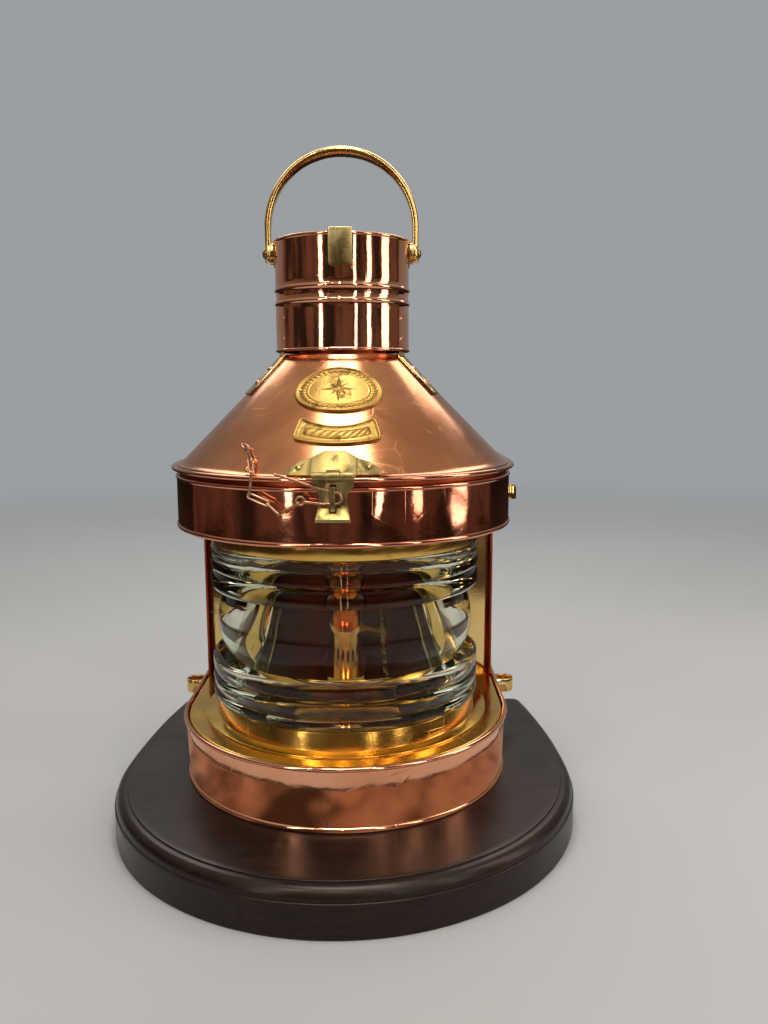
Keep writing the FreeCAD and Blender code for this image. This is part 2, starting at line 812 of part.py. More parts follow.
def bail_pivot_bolt():
    """Right-hand shouldered bolt through lug and eye, with a domed head outside."""
    length = bail_eye_x1 + 0.3 - (chimney_r - 6)
    shank = rod(V(chimney_r - 6, 0, pivot_z), X_AXIS, pivot_r, length)
    head, stub = rivet(V(bail_eye_x1 + 0.3, 0, pivot_z), X_AXIS, 5.0, 2.6, pivot_r, 1.0)
    nut = rod(V(chimney_r - 6, 0, pivot_z), X_AXIS, 5.0, 3.0)
    return fused([shank, head, nut])


# ---------------------------------------------------------------- plates on the hood
oval_r = 88.1
oval_half_w = 38.2
oval_half_h = 26.4
plate_lift = 0.15
plate_thick = 1.6
rim_lift = 1.1
rim_width = 2.6


def ellipse_prism(half_w, half_h):
    """Elliptical bar along the hood's outward direction at the front."""
    out = cone_out(0)
    centre = on_cone(oval_r, 0)
    ellipse = Part.Ellipse(V(0, 0, 0), half_w, half_h)
    face = Part.Face(Part.Wire(ellipse.toShape()))
    face.rotate(ORIGIN, X_AXIS, math.degrees(math.atan2(-out.y, out.z)))
    face.translate(centre - out * 14)
    return face.extrude(out * 28)


def oval_plate():
    """Oval plate bent to the cone, with a raised rim."""
    base = cone_layer(140, 58, plate_lift, plate_lift + plate_thick)
    rim = cone_layer(140, 58, plate_lift, plate_lift + plate_thick + rim_lift)
    outer = ellipse_prism(oval_half_w, oval_half_h)
    inner = ellipse_prism(oval_half_w - rim_width, oval_half_h - rim_width)
    return fused([base.common(outer), rim.common(outer).cut(inner)])


oval_pin_azimuth = 21.4


def oval_plate_pins():
    pins, shanks = [], []
    for azimuth in (oval_pin_azimuth, -oval_pin_azimuth):
        point = on_cone(oval_r + 1.0, azimuth, plate_lift + plate_thick)
        piece, shank = rivet(point, cone_out(azimuth), 1.3, 0.8, 0.8, plate_thick + 1.8)
        pins.append(piece)
        shanks.append(shank)
    return pins, shanks


label_foot_r = 132.1        # radius on the hood of the label's lowest point
label_height = 20.3         # up the slope, at the label's middle
label_foot_arc = 80.0       # radii of its lower and upper edges
label_top_arc = 43.4
label_foot_half = 37.6      # half widths between its lower and upper corners
label_top_half = 31.5
label_border = 2.0
label_corner = 5.0


def arc_rise(radius, half):
    """How far the ends of an arc stand over its middle."""
    return radius - math.sqrt(radius ** 2 - half ** 2)


def arched_bar(inset):
    """Bar with the label's outline as its section, along the hood's outward direction."""
    reach = 14.0
    out = cone_out(0)
    up_slope = V(0, cone_normal[1], cone_normal[0])
    origin = on_cone(label_foot_r, 0) - out * reach
    foot_rise = arc_rise(label_foot_arc, label_foot_half)
    top_rise = label_height + arc_rise(label_top_arc, label_top_half)

    def spot(x, slope):
        return origin + X_AXIS * x + up_slope * slope

    foot_left = spot(-label_foot_half, foot_rise)
    foot_right = spot(label_foot_half, foot_rise)
    top_left = spot(-label_top_half, top_rise)
    top_right = spot(label_top_half, top_rise)
    outline = Part.Wire([
        arc(foot_left, spot(0, 0), foot_right),
        line(foot_right, top_right),
        arc(top_right, spot(0, label_height), top_left),
        line(top_left, foot_left),
    ])
    if inset:
        outline = outline.makeOffset2D(-inset)
    bar = Part.Face(outline).extrude(out * 2 * reach)
    long_edges = [e for e in bar.Edges if abs(e.Length - 2 * reach) < 0.01]
    return bar.makeFillet(label_corner - inset, long_edges)


def curved_plate():
    """Arched label plate bent to the cone, with a raised border."""
    top = plate_lift + plate_thick
    outer = arched_bar(0)
    inner = arched_bar(label_border)
    base = cone_layer(146, 85, plate_lift, top).common(outer)
    rim = cone_layer(146, 85, plate_lift, top + rim_lift).common(outer).cut(inner)
    return fused([base, rim])


# ---------------------------------------------------------------- hasp
hasp_x = -1.4          # the hasp sits a little to the left of the middle
leaf_r_low = 154.9
leaf_half = 38.0
leaf_box_half = 17.8
leaf_box_r = 139.2
leaf_lift = 0.45
leaf_box_lift = 5.2
knuckle_gap = 0.35
knuckle_mid = 5.4


def x_barrel(x0, x1, y, z, radius):
    return rod(V(x0, y, z), X_AXIS, radius, x1 - x0)


def hasp_leaf():
    """Wings on the cone, a raised box in the middle and the middle knuckle."""
    wings = cone_layer(leaf_r_low, leaf_box_r, leaf_lift, leaf_lift + brass)
    low_z = brim_top + 0.5
    right = [V(leaf_half, -250, low_z), V(leaf_half, -250, low_z + 4.5),
             V(leaf_half - 9, -250, low_z + 10.5), V(leaf_box_half, -250, low_z + 14.0)]
    left = [V(-p.x, p.y, p.z) for p in reversed(right)]
    wings = wings.common(face_of(right + left).extrude(V(0, 250, 0)))
    raised = cone_layer(leaf_r_low + 1.5, leaf_box_r - 2, leaf_lift, leaf_box_lift)
    crown_z = cone_z(leaf_box_r) + leaf_box_lift * cone_normal[1]
    right = [V(leaf_box_half, -250, low_z), V(leaf_box_half, -250, crown_z - 5.0),
             V(leaf_box_half - 10, -250, crown_z)]
    left = [V(-p.x, p.y, p.z) for p in reversed(right)]
    raised = raised.common(face_of(right + left).extrude(V(0, 250, 0)))
    barrel = x_barrel(-knuckle_mid, knuckle_mid, hasp_y, hasp_z, hasp_knuckle_r)
    tongue_top = hasp_z + hasp_knuckle_r
    tongue = face_of([V(-knuckle_mid, hasp_y, tongue_top), V(-knuckle_mid, hasp_y, tongue_top - 2.2),
                      V(-knuckle_mid, -150.0, tongue_top - 2.2), V(-knuckle_mid, -150.0, tongue_top + 1)])
    tongue = tongue.extrude(V(2 * knuckle_mid, 0, 0))
    clear = cone_layer(cone_foot_r + 8, 100, -30, leaf_lift)
    solid = fused([wings, raised, barrel, tongue]).cut(clear)
    return solid.cut(x_barrel(-40, 40, hasp_y, hasp_z, hasp_pin_r))


hasp_rivet_x = 28.0
hasp_rivet_r = 149.7


def hasp_rivets():
    rivets, shanks = [], []
    azimuth = math.degrees(math.asin(hasp_rivet_x / hasp_rivet_r))
    for side in (1, -1):
        point = on_cone(hasp_rivet_r, side * azimuth, leaf_lift + brass)
        piece, shank = rivet(point, cone_out(side * azimuth), 3.0, 1.6, 1.5, brass + 2.2)
        rivets.append(piece)
        shanks.append(shank)
    return rivets, shanks


strap_inner_y = hasp_y + hasp_knuckle_r
lip_turn_z = foot + 279.9
lip_low_z = foot + 268.6
lip_reach = 11.0


def hasp_strap():
    """Strap hanging from the knuckles, slotted over the staple, with an out-turned lip."""
    y0 = strap_inner_y
    t = strap_thick
    side = face_of([V(-20, y0, hasp_z), V(-20, y0 - t, hasp_z), V(-20, y0 - t, lip_turn_z),
                    V(-20, y0 - t - lip_reach, lip_low_z + 2.4), V(-20, y0 - t - lip_reach, lip_low_z),
                    V(-20, y0 - lip_reach + 1.6, lip_low_z), V(-20, y0, lip_turn_z - 0.6)])
    sheet_body = side.extrude(V(40, 0, 0))
    half = hasp_half
    neck = 11.0
    lip = 14.2
    zs = hasp_z
    outline = Part.Wire([
        line(V(-half, -300, zs), V(half, -300, zs)),
        line(V(half, -300, zs), V(half, -300, zs - 8.0)),
        line(V(half, -300, zs - 8.0), V(neck, -300, zs - 15.0)),
        line(V(neck, -300, zs - 15.0), V(neck, -300, zs - 21.0)),
        line(V(neck, -300, zs - 21.0), V(lip, -300, lip_low_z - 1)),
        line(V(lip, -300, lip_low_z - 1), V(-lip, -300, lip_low_z - 1)),
        line(V(-lip, -300, lip_low_z - 1), V(-neck, -300, zs - 21.0)),
        line(V(-neck, -300, zs - 21.0), V(-neck, -300, zs - 15.0)),
        line(V(-neck, -300, zs - 15.0), V(-half, -300, zs - 8.0)),
        line(V(-half, -300, zs - 8.0), V(-half, -300, zs)),
    ])
    plate = sheet_body.common(Part.Face(outline).extrude(V(0, 300, 0)))
    edge = knuckle_mid + knuckle_gap
    window = box(-edge, edge, hasp_y - 6, y0 + 1, hasp_z - hasp_knuckle_r - 0.6, hasp_z + 6)
    slot = box(-staple_half - 0.9, staple_half + 0.9, staple_out - 1.0, y0 + 1,
               lip_low_z - 2, eye_high + staple_bar + 1.2)
    barrel = x_barrel(edge, half, hasp_y, hasp_z, hasp_knuckle_r)
    solid = fused([plate.cut(window), barrel, mirrored(barrel)]).cut(slot)
    return solid.cut(x_barrel(-40, 40, hasp_y, hasp_z, hasp_pin_r + fit))


def hasp_hinge_pin():
    shaft = x_barrel(-hasp_half - 0.6, hasp_half + 0.6, hasp_y, hasp_z, hasp_pin_r)
    head_r, _ = rivet(V(hasp_half + 0.6, hasp_y, hasp_z), X_AXIS, 2.4, 1.2, hasp_pin_r, 1)
    head_l, _ = rivet(V(-hasp_half - 0.6, hasp_y, hasp_z), X_AXIS * -1, 2.4, 1.2, hasp_pin_r, 1)
    return fused([shaft, head_r, head_l])


# ---------------------------------------------------------------- wire pieces
def wire_path(points, radii):
    """Straight runs joined by tangent arcs, as one wire."""
    edges = []
    last = points[0]
    for i in range(1, len(points) - 1):
        a, b, c = points[i - 1], points[i], points[i + 1]
        u = (a - b).normalize()
        w = (c - b).normalize()
        turn = math.pi - u.getAngle(w)
        back = radii[i - 1] * math.tan(turn / 2)
        start = b + u * back
        stop = b + w * back
        bisector = (u + w).normalize()
        centre = b + bisector * (radii[i - 1] / math.cos(turn / 2))
        middle = centre - bisector * radii[i - 1]
        edges.append(line(last, start))
        edges.append(arc(start, middle, stop))
        last = stop
    edges.append(line(last, points[-1]))
    return Part.Wire(edges)


def wire_rod(path, start, direction, radius):
    circle = Part.Wire(Part.Circle(start, direction, radius).toShape())
    return path.makePipeShell([circle], True, True)


pin_eye_offset = V(-3.1, 0, 0.8)
pin_eye_r = 3.3
pin_tail = V(-24, wire_y, foot + 283.6)


def lock_pin():
    """Soft copper wire bent through the staple, with an eye for the chain."""
    y = wire_y
    spots = [(-47, 305.6), (-30, 300.2), (-12, 293.9), (4.6, 290.0), (5.4, 282.2), (-9, 281.8)]
    points = [V(x, y, foot + z) for x, z in spots] + [pin_tail]
    path = wire_path(points, [60, 30, 3.2, 3.2, 22])
    rodded = wire_rod(path, points[0], points[1] - points[0], wire_r)
    eye = Part.makeTorus(pin_eye_r, wire_r * 0.9, points[-1] + pin_eye_offset, Y_AXIS)
    return fused([rodded, eye])


link_wire = 0.75
link_half = 2.0
full_reach = 1.4            # how far a link runs past the point where it meets the next
bent_reach = 0.3


def chain_link(a, b, side):
    """Long closed link of thin wire between two points, widest along side."""
    along = (b - a).normalize()
    w = side * link_half
    path = Part.Wire([
        line(a + w, b + w),
        arc(b + w, b + along * link_half, b - w),
        line(b - w, a - w),
        arc(a - w, a - along * link_half, a + w),
    ])
    return wire_rod(path, a + w, along, link_wire)


anchor_azimuth = 33.2
anchor_r = 136.8
anchor_ring_r = 3.4
anchor_lift = 4.6


def chain_points():
    """Junctions of the links: anchor ring, over the brim, down the band, to the pin's eye."""
    centre = on_cone(anchor_r, anchor_azimuth, anchor_lift)
    first = V(-70.4, -134.8, foot + 313.3)
    ring = centre + (first - centre).normalize() * 2.0
    eye = pin_tail + pin_eye_offset + V(-0.76, 0, -0.65) * (pin_eye_r - link_half + full_reach)
    return [ring, first, V(-67.0, -151.6, foot + 306.0),
            V(-69.2, -152.7, foot + 287.0), V(-54.2, -157.0, foot + 281.0),
            V(-44.3, -161.5, foot + 272.5), eye]


def link_reach(points, k, edge_on):
    """Reach of a link past junction k, short on a flat link where the chain turns."""
    if edge_on or k == 0 or k == len(points) - 1:
        return full_reach
    turn = (points[k] - points[k - 1]).getAngle(points[k + 1] - points[k])
    return min(full_reach, bent_reach / math.sin(turn))


def lock_chain():
    """Links turned a quarter to their neighbours, each through the next."""
    points = chain_points()
    links = []
    side = V(points[0].x, points[0].y, 0)
    for i in range(len(points) - 1):
        along = (points[i + 1] - points[i]).normalize()
        side = along.cross(side).normalize()
        if i == len(points) - 2:
            side = along.cross(Y_AXIS).cross(along).normalize()
        edge_on = i % 2 == 1
        start = points[i] + along * (link_half - link_reach(points, i, edge_on))
        end = points[i + 1] - along * (link_half - link_reach(points, i + 1, edge_on))
        links.append(chain_link(start, end, side))
    return links


def chain_anchor():
    """Wire ring soldered to the hood in line with the chain, with its foot pad."""
    out = cone_out(anchor_azimuth)
    spot = on_cone(anchor_r, anchor_azimuth)
    points = chain_points()
    pad = rod(spot + out * 0.15, out, 4.0, 0.8)
    ring_axis = (points[1] - points[0]).cross(V(spot.x, spot.y, 0))
    ring = Part.makeTorus(anchor_ring_r, 0.9, spot + out * anchor_lift, ring_axis)
    return fused([pad, ring])


# ---------------------------------------------------------------- hood hinge
hinge_mid = 11.0
hinge_leaf_low = foot + 252.0
hinge_leaf_y0 = body_back + 0.05
hinge_leaf_y1 = hinge_leaf_y0 + 1.9


def hinge_lower_leaf():
    """Leaf on the back of the band with the two outer knuckles."""
    arm_z = hinge_z - 8.0
    r = hinge_knuckle_r
    profile = [(hinge_leaf_y0, hinge_leaf_low), (hinge_leaf_y1, hinge_leaf_low),
               (hinge_leaf_y1, arm_z), (hinge_y + r * 0.72, hinge_z - r * 0.69),
               (hinge_y - r * 0.3, hinge_z - r * 0.3), (hinge_leaf_y0, arm_z + 1.6)]
    plate = face_of([V(-hinge_half, y, z) for y, z in profile]).extrude(V(2 * hinge_half, 0, 0))
    edge = hinge_mid + knuckle_gap
    window = box(-edge, edge, hinge_leaf_y1 + 0.2, hinge_y + 8, hinge_z - 8.4, hinge_z + 8)
    barrel = x_barrel(edge, hinge_half, hinge_y, hinge_z, r)
    solid = fused([plate.cut(window), barrel, mirrored(barrel)])
    return solid.cut(x_barrel(-60, 60, hinge_y, hinge_z, hinge_pin_r))


def hinge_upper_leaf():
    """Leaf on the brim with the middle knuckle."""
    r = hinge_knuckle_r
    low = brim_top + 0.1
    plate = box(-hinge_half, hinge_half, hood_back_y + 0.4, hinge_y - 5.2, low, low + 1.9)
    tongue = box(-hinge_mid, hinge_mid, hood_back_y + 0.4, hinge_y, low, low + 1.9)
    barrel = x_barrel(-hinge_mid, hinge_mid, hinge_y, hinge_z, r)
    solid = fused([plate, tongue, barrel])
    return solid.cut(x_barrel(-60, 60, hinge_y, hinge_z, hinge_pin_r + fit))


def hinge_pin():
    shaft = x_barrel(-hinge_half - 0.8, hinge_half + 0.8, hinge_y, hinge_z, hinge_pin_r)
    ends = []
    for side in (1, -1):
        head, _ = rivet(V(side * (hinge_half + 0.8), hinge_y, hinge_z), X_AXIS * side, 3.0, 1.6,
                        hinge_pin_r, 1)
        ends.append(head)
    return fused([shaft] + ends)


def hinge_rivets_lower():
    rivets, shanks = [], []
    for x in (-25.0, 0.0, 25.0):
        piece, shank = rivet(V(x, hinge_leaf_y1, foot + 262.0), Y_AXIS, 3.0, 1.6, 1.5, 5.2)
        rivets.append(piece)
        shanks.append(shank)
    return rivets, shanks


def hinge_rivets_upper():
    rivets, shanks = [], []
    for x in (-25.0, 0.0, 25.0):
        piece, shank = rivet(V(x, hood_back_y + 6.0, brim_top + 2.0), Z_AXIS, 2.6, 1.4, 1.4, 3.4)
        rivets.append(piece)
        shanks.append(shank)
    return rivets, shanks


# ---------------------------------------------------------------- oil lamp
font_top = font_low + font_height
neck_r = 17.0
neck_top = font_top + 8.0
cap_x = -33.0
cap_r = 8.0
spindle_z = neck_top + 12.0
burner_top = focus_z + 6.0
gallery_low = spindle_z + 3.3  # ring on the burner that the glass chimney stands on
gallery_top = gallery_low + 2.0
gallery_r = 18.0
glass_tube_r = 15.6
glass_tube_top = foot + 243.0
glass_bulge = 5.4
glass_bulge_height = 68.0
glass_wall = 1.5


def lamp_font():
    """Round reservoir, hollow, with a burner neck and a filler neck."""
    t = 1.5
    z0 = font_low
    z1 = font_top
    body = turned([(0, z0), (font_r, z0), (font_r, z1 - 8), (font_r - 8, z1),
                   (neck_r, z1), (neck_r, neck_top), (neck_r - 3, neck_top), (neck_r - 3, z1 - t),
                   (font_r - 8 - t * 0.4, z1 - t), (font_r - t, z1 - 8 - t * 0.4),
                   (font_r - t, z0 + t), (0, z0 + t)])
    spout = rod(V(cap_x, 0, z1 - t), Z_AXIS, cap_r - 2, t + 4)
    bore = rod(V(cap_x, 0, z1 - 2 * t), Z_AXIS, cap_r - 4, 20)
    return fused([body, spout]).cut(bore)


def filler_cap():
    """Knurled screw cap over the filler neck."""
    low = font_top + 0.3
    cap = rod(V(cap_x, 0, low), Z_AXIS, cap_r, 7.0)
    cap = cap.cut(rod(V(cap_x, 0, low - 0.1), Z_AXIS, cap_r - 2 + fit, 4.2))
    flutes = 18
    for i in range(flutes):
        a = 2 * math.pi * i / flutes
        x = cap_x + (cap_r + 0.35) * math.cos(a)
        y = (cap_r + 0.35) * math.sin(a)
        cap = cap.cut(rod(V(x, y, low + 1), Z_AXIS, 0.8, 5.0))
    return cap


def burner():
    """Burner: threaded collar, perforated body, domed cap with the flame slot, wick tube."""
    z0 = neck_top
    collar = tube(neck_r + 2.5, wick_half_x + 4, z0, z0 + 5)
    wall = 1.2
    body = turned([(burner_r - wall, z0 + 5), (burner_r, z0 + 5), (burner_r, burner_top - 12),
                   (burner_r - 4.5, burner_top), (burner_r - 4.5 - wall, burner_top),
                   (burner_r - wall, burner_top - 12 - wall)])
    clear = 0.35
    wall_x = wick_half_x + clear + 1.0
    wall_y = wick_half_y + clear + 1.0
    wick_tube = box(-wall_x, wall_x, -wall_y, wall_y, z0 - 10, burner_top - 7)
    web = box(-burner_r + 0.6, burner_r - 0.6, -1.0, 1.0, z0 + 22, z0 + 26)
    gallery = tube(gallery_r, burner_r - wall, gallery_low, gallery_top)
    disc = rod(V(0, 0, z0 + 3.2), Z_AXIS, burner_r, 1.8)
    solid = fused([collar, body, disc, gallery, wick_tube, web])
    solid = solid.cut(box(-wick_half_x - clear, wick_half_x + clear, -wick_half_y - clear,
                          wick_half_y + clear, z0 - 30, burner_top + 9))
    holes = 16
    for i in range(holes):
        hole = rod(V(0, 0, z0 + 9.0), X_AXIS, 1.3, burner_r + 5)
        hole = hole.cut(rod(V(0, 0, z0), Z_AXIS, burner_r - 3, 30))
        hole.rotate(ORIGIN, Z_AXIS, 360.0 * (i + 0.5) / holes)
        solid = solid.cut(hole)
    spindle_way = rod(V(wick_half_x + clear - 0.5, 0, spindle_z), X_AXIS, 1.2 + fit, 30)
    wheel_way = box(wick_half_x - 1.0, wick_half_x + clear + 3.6, -3.4, 3.4, spindle_z - 3.6,
                    spindle_z + 3.6)
    return solid.cut(spindle_way).cut(wheel_way)


def lamp_chimney():
    """Blown glass chimney, bulged round the flame, standing on the burner's gallery."""
    steps = 14
    outer = [(glass_tube_r, gallery_top)]
    for i in range(steps + 1):
        swell = math.sin(math.pi * i / steps) ** 2
        outer.append((glass_tube_r + glass_bulge * swell,
                      gallery_top + 3.0 + glass_bulge_height * i / steps))
    outer.append((glass_tube_r, glass_tube_top))
    inner = [(r - glass_wall, z) for r, z in reversed(outer)]
    return turned(outer + inner)


def wick():
    return box(-wick_half_x, wick_half_x, -wick_half_y, wick_half_y, font_low + 4, burner_top - 4)


def wick_knob():
    """Spindle with a small toothed wheel beside the wick and a knurled knob outside."""
    x0 = wick_half_x + 0.5
    shaft = rod(V(x0, 0, spindle_z), X_AXIS, 1.2, 36.0)
    wheel = rod(V(x0, 0, spindle_z), X_AXIS, 3.0, 2.4)
    knob = rod(V(x0 + 30.0, 0, spindle_z), X_AXIS, 7.0, 4.0)
    teeth = 20
    for i in range(teeth):
        a = 2 * math.pi * i / teeth
        notch = rod(V(x0 + 29.0, 7.3 * math.cos(a), spindle_z + 7.3 * math.sin(a)), X_AXIS, 0.8, 6.0)
        knob = knob.cut(notch)
    return fused([shaft, wheel, knob])


# ---------------------------------------------------------------- assemble and write
def main():
    os.makedirs("parts", exist_ok=True)

    keep("wooden_plinth", wooden_plinth())
    keep("plinth_screws", plinth_screws())

    loop_rivet_pieces = []
    loop_shanks = {}
    for level, z_mid in loop_levels.items():
        rivets, shanks = loop_rivets(z_mid)
        loop_rivet_pieces += rivets + [mirrored(r) for r in rivets]
        loop_shanks[level] = shanks
        loop = drilled(guide_loop(z_mid), shanks)
        keep("guide_loop_%s_right" % level, loop)
        keep("guide_loop_%s_left" % level, mirrored(loop))
    keep("guide_loop_rivets", group(loop_rivet_pieces))

    low_shanks = loop_shanks["lower"] + [mirrored(s) for s in loop_shanks["lower"]]
    keep("base_shell", drilled(base_shell(), low_shanks))
    keep("base_floor", base_floor())
    keep("tray", tray())
    keep("lamp_platform", lamp_platform())

    keep("lens_seat_ring", lens_seat_ring())
    keep("lens_gasket_lower", lens_gasket(glass_low - 1.0, glass_low))
    keep("lens", lens())
    keep("lens_gasket_upper", lens_gasket(glass_high, glass_high + 1.0))
    keep("lens_top_ring", lens_top_ring())
    screws = clamp_screws_right()
    plate = drilled(side_plate(), screws)
    clamp = drilled(lens_clamp(), screws)
    keep("side_plate_right", plate)
    keep("side_plate_left", mirrored(plate))
    keep("lens_clamps", group([clamp, mirrored(clamp)]))
    keep("lens_clamp_screws", group(screws + [mirrored(s) for s in screws]))
    keep("rear_housing", rear_housing())

    lower_rivets, lower_shanks = hinge_rivets_lower()
    upper_rivets, upper_shanks = hinge_rivets_upper()
    high_shanks = loop_shanks["upper"] + [mirrored(s) for s in loop_shanks["upper"]]
    keep("band", drilled(band(), high_shanks + lower_shanks))
    keep("band_deck", band_deck())
    keep("hood_hinge_lower_leaf", drilled(hinge_lower_leaf(), lower_shanks))
    keep("hood_hinge_lower_rivets", group(lower_rivets))
    keep("hood_hinge_upper_leaf", drilled(hinge_upper_leaf(), upper_shanks))
    keep("hood_hinge_upper_rivets", group(upper_rivets))
    keep("hood_hinge_pin", hinge_pin())

    bracket_pairs = [side_rivet_right(r) for r in bracket_rivet_radii]
    bracket_shanks = [pair[1] for pair in bracket_pairs]
    bracket_shanks += [mirrored(s) for s in bracket_shanks]
    bracket_pieces = [pair[0] for pair in bracket_pairs]
    hasp_rivet_pieces, hasp_shanks = hasp_rivets()
    hasp_shift = V(hasp_x, 0, 0)
    shifted_shanks = [shank.translated(hasp_shift) for shank in hasp_shanks]
    oval_pins, oval_shanks = oval_plate_pins()
    stack_rivets, stack_shanks = chimney_rivet_set()

    keep("hood_brim", drilled(hood_brim(), upper_shanks))
    keep("hood_cone", drilled(hood_cone(), bracket_shanks + shifted_shanks + oval_shanks))
    keep("hood_back_panel", hood_back_panel())
    keep("hood_skirt", hood_skirt())
    keep("flue_tube", flue_tube())
    keep("draught_baffle", draught_baffle())
    bolt = bail_pivot_bolt()
    bolts = [bolt, mirrored(bolt)]
    keep("chimney_shell", drilled(chimney_shell(), stack_shanks + bolts))
    keep("chimney_rivets", group(stack_rivets))
    bracket = drilled(chimney_bracket(), bracket_shanks)
    keep("chimney_bracket_right", bracket)
    keep("chimney_bracket_left", mirrored(bracket))
    keep("chimney_bracket_rivets", group(bracket_pieces + [mirrored(p) for p in bracket_pieces]))
    keep("rim_clip", rim_clip())

    lug = bail_lug()
    keep("bail_lugs", group([lug, mirrored(lug)]))
    keep("bail_pivot_bolts", group(bolts))
    keep("bail", bail())

    keep("oval_plate", drilled(oval_plate(), oval_shanks))
    keep("oval_plate_pins", group(oval_pins))
    keep("curved_plate", curved_plate())

    keep("hasp_leaf", drilled(hasp_leaf(), hasp_shanks).translated(hasp_shift))
    keep("hasp_rivets", group(hasp_rivet_pieces).translated(hasp_shift))
    keep("hasp_staple", hasp_staple())
    keep("hasp_strap", hasp_strap().translated(hasp_shift))
    keep("hasp_hinge_pin", hasp_hinge_pin().translated(hasp_shift))
    keep("lock_pin", lock_pin())
    keep("lock_chain", group(lock_chain()))
    keep("chain_anchor", chain_anchor())

    keep("lamp_font", lamp_font())
    keep("filler_cap", filler_cap())
    keep("burner", burner())
    keep("lamp_chimney", lamp_chimney())
    keep("wick", wick())
    keep("wick_knob", wick_knob())


main()
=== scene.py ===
"""Looks of the ship lantern: detailed pieces, materials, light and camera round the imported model.

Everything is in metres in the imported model's frame: +Z up, the lens faces -Y.
"""
import json
import math

import bmesh
import bpy
from mathutils import Matrix, Vector, noise

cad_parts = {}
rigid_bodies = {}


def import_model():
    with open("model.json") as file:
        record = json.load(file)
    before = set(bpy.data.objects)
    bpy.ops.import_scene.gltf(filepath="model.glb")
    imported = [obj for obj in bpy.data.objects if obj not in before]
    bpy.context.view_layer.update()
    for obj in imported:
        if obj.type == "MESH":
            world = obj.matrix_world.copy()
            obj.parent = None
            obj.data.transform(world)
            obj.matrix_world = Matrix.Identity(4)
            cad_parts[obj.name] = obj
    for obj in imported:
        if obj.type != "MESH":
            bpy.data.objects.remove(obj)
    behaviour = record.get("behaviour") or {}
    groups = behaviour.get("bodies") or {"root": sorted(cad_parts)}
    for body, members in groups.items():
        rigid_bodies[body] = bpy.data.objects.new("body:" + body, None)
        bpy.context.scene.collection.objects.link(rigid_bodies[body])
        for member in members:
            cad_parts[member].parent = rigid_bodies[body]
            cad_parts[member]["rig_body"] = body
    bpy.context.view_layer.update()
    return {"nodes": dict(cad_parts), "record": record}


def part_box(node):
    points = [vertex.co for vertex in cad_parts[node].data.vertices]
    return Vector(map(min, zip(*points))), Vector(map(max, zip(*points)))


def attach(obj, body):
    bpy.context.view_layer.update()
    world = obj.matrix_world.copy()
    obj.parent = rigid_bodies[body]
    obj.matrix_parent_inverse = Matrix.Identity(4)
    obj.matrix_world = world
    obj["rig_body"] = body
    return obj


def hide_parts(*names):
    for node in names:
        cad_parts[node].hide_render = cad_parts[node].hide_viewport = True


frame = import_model()
scene = bpy.context.scene
MM = 0.001


# ---------------------------------------------------------------- camera
FILM_HEIGHT = 36.0                         # millimetres on the film, as is the focal length
FOCAL_LENGTH = 30.36
CAMERA_PLACE = (0.0386, -0.8376, 0.4154)
CAMERA_DIP = 8.31                          # degrees below the horizon
CAMERA_ROLL = -0.22                        # degrees


def make_camera():
    data = bpy.data.cameras.new("camera")
    data.sensor_fit = "VERTICAL"
    data.sensor_height = FILM_HEIGHT
    data.lens = FOCAL_LENGTH
    camera = bpy.data.objects.new("camera", data)
    scene.collection.objects.link(camera)
    pitch = Matrix.Rotation(math.radians(90 - CAMERA_DIP), 4, "X")
    roll = Matrix.Rotation(math.radians(CAMERA_ROLL), 4, "Z")
    camera.matrix_world = Matrix.Translation(CAMERA_PLACE) @ pitch @ roll
    scene.camera = camera
    scene.view_settings.view_transform = "Standard"


# ---------------------------------------------------------------- sizes read from the frame
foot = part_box("base_shell")[0].z
base_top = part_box("base_shell")[1].z
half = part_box("band")[1].x                 # half width of the body
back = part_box("band")[1].y                 # flat back
band_low, band_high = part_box("band")[0].z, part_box("band")[1].z
brim_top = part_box("hood_brim")[1].z
neck_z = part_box("hood_cone")[1].z
cone_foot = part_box("hood_cone")[1].x
stack_low, stack_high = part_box("chimney_shell")[0].z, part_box("chimney_shell")[1].z
tray_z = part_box("tray")[1].z
glass_low, glass_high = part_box("lens")[0].z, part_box("lens")[1].z
plinth_low, plinth_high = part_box("wooden_plinth")
corner = 9 * MM                            # radius of the body's back corners
neck_r = 57.6 * MM                         # cone's radius at its neck
stack_r = 62.7 * MM                        # chimney wall's outer radius
back_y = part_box("hood_back_panel")[1].y
cone_run = cone_foot - neck_r
cone_rise = neck_z - brim_top
slant = math.hypot(cone_run, cone_rise)
normal_r, normal_z = cone_rise / slant, cone_run / slant


def cone_z(r):
    """Height of the cone's surface at a radius."""
    return brim_top + (cone_foot - r) * cone_rise / cone_run


# ---------------------------------------------------------------- mesh helpers
WELD = 1e-7                                # points closer than this are one point


def finish_mesh(obj, material, body, nodes, sharp=38.0):
    """Smooth shading with sharp creases, then body, slot and the CAD nodes it stands for."""
    mesh = obj.data
    mesh.shade_smooth()
    mesh.set_sharp_from_angle(angle=math.radians(sharp))
    mesh.materials.clear()
    mesh.materials.append(material)
    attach(obj, body)
    if nodes:
        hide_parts(*nodes)
    return obj


def mesh_object(name, vertices, faces):
    mesh = bpy.data.meshes.new(name)
    mesh.from_pydata([tuple(v) for v in vertices], [], faces)
    mesh.validate()
    obj = bpy.data.objects.new(name, mesh)
    scene.collection.objects.link(obj)
    clean = bmesh.new()
    clean.from_mesh(mesh)
    bmesh.ops.remove_doubles(clean, verts=clean.verts, dist=WELD)
    bmesh.ops.recalc_face_normals(clean, faces=clean.faces)
    clean.to_mesh(mesh)
    clean.free()
    return obj


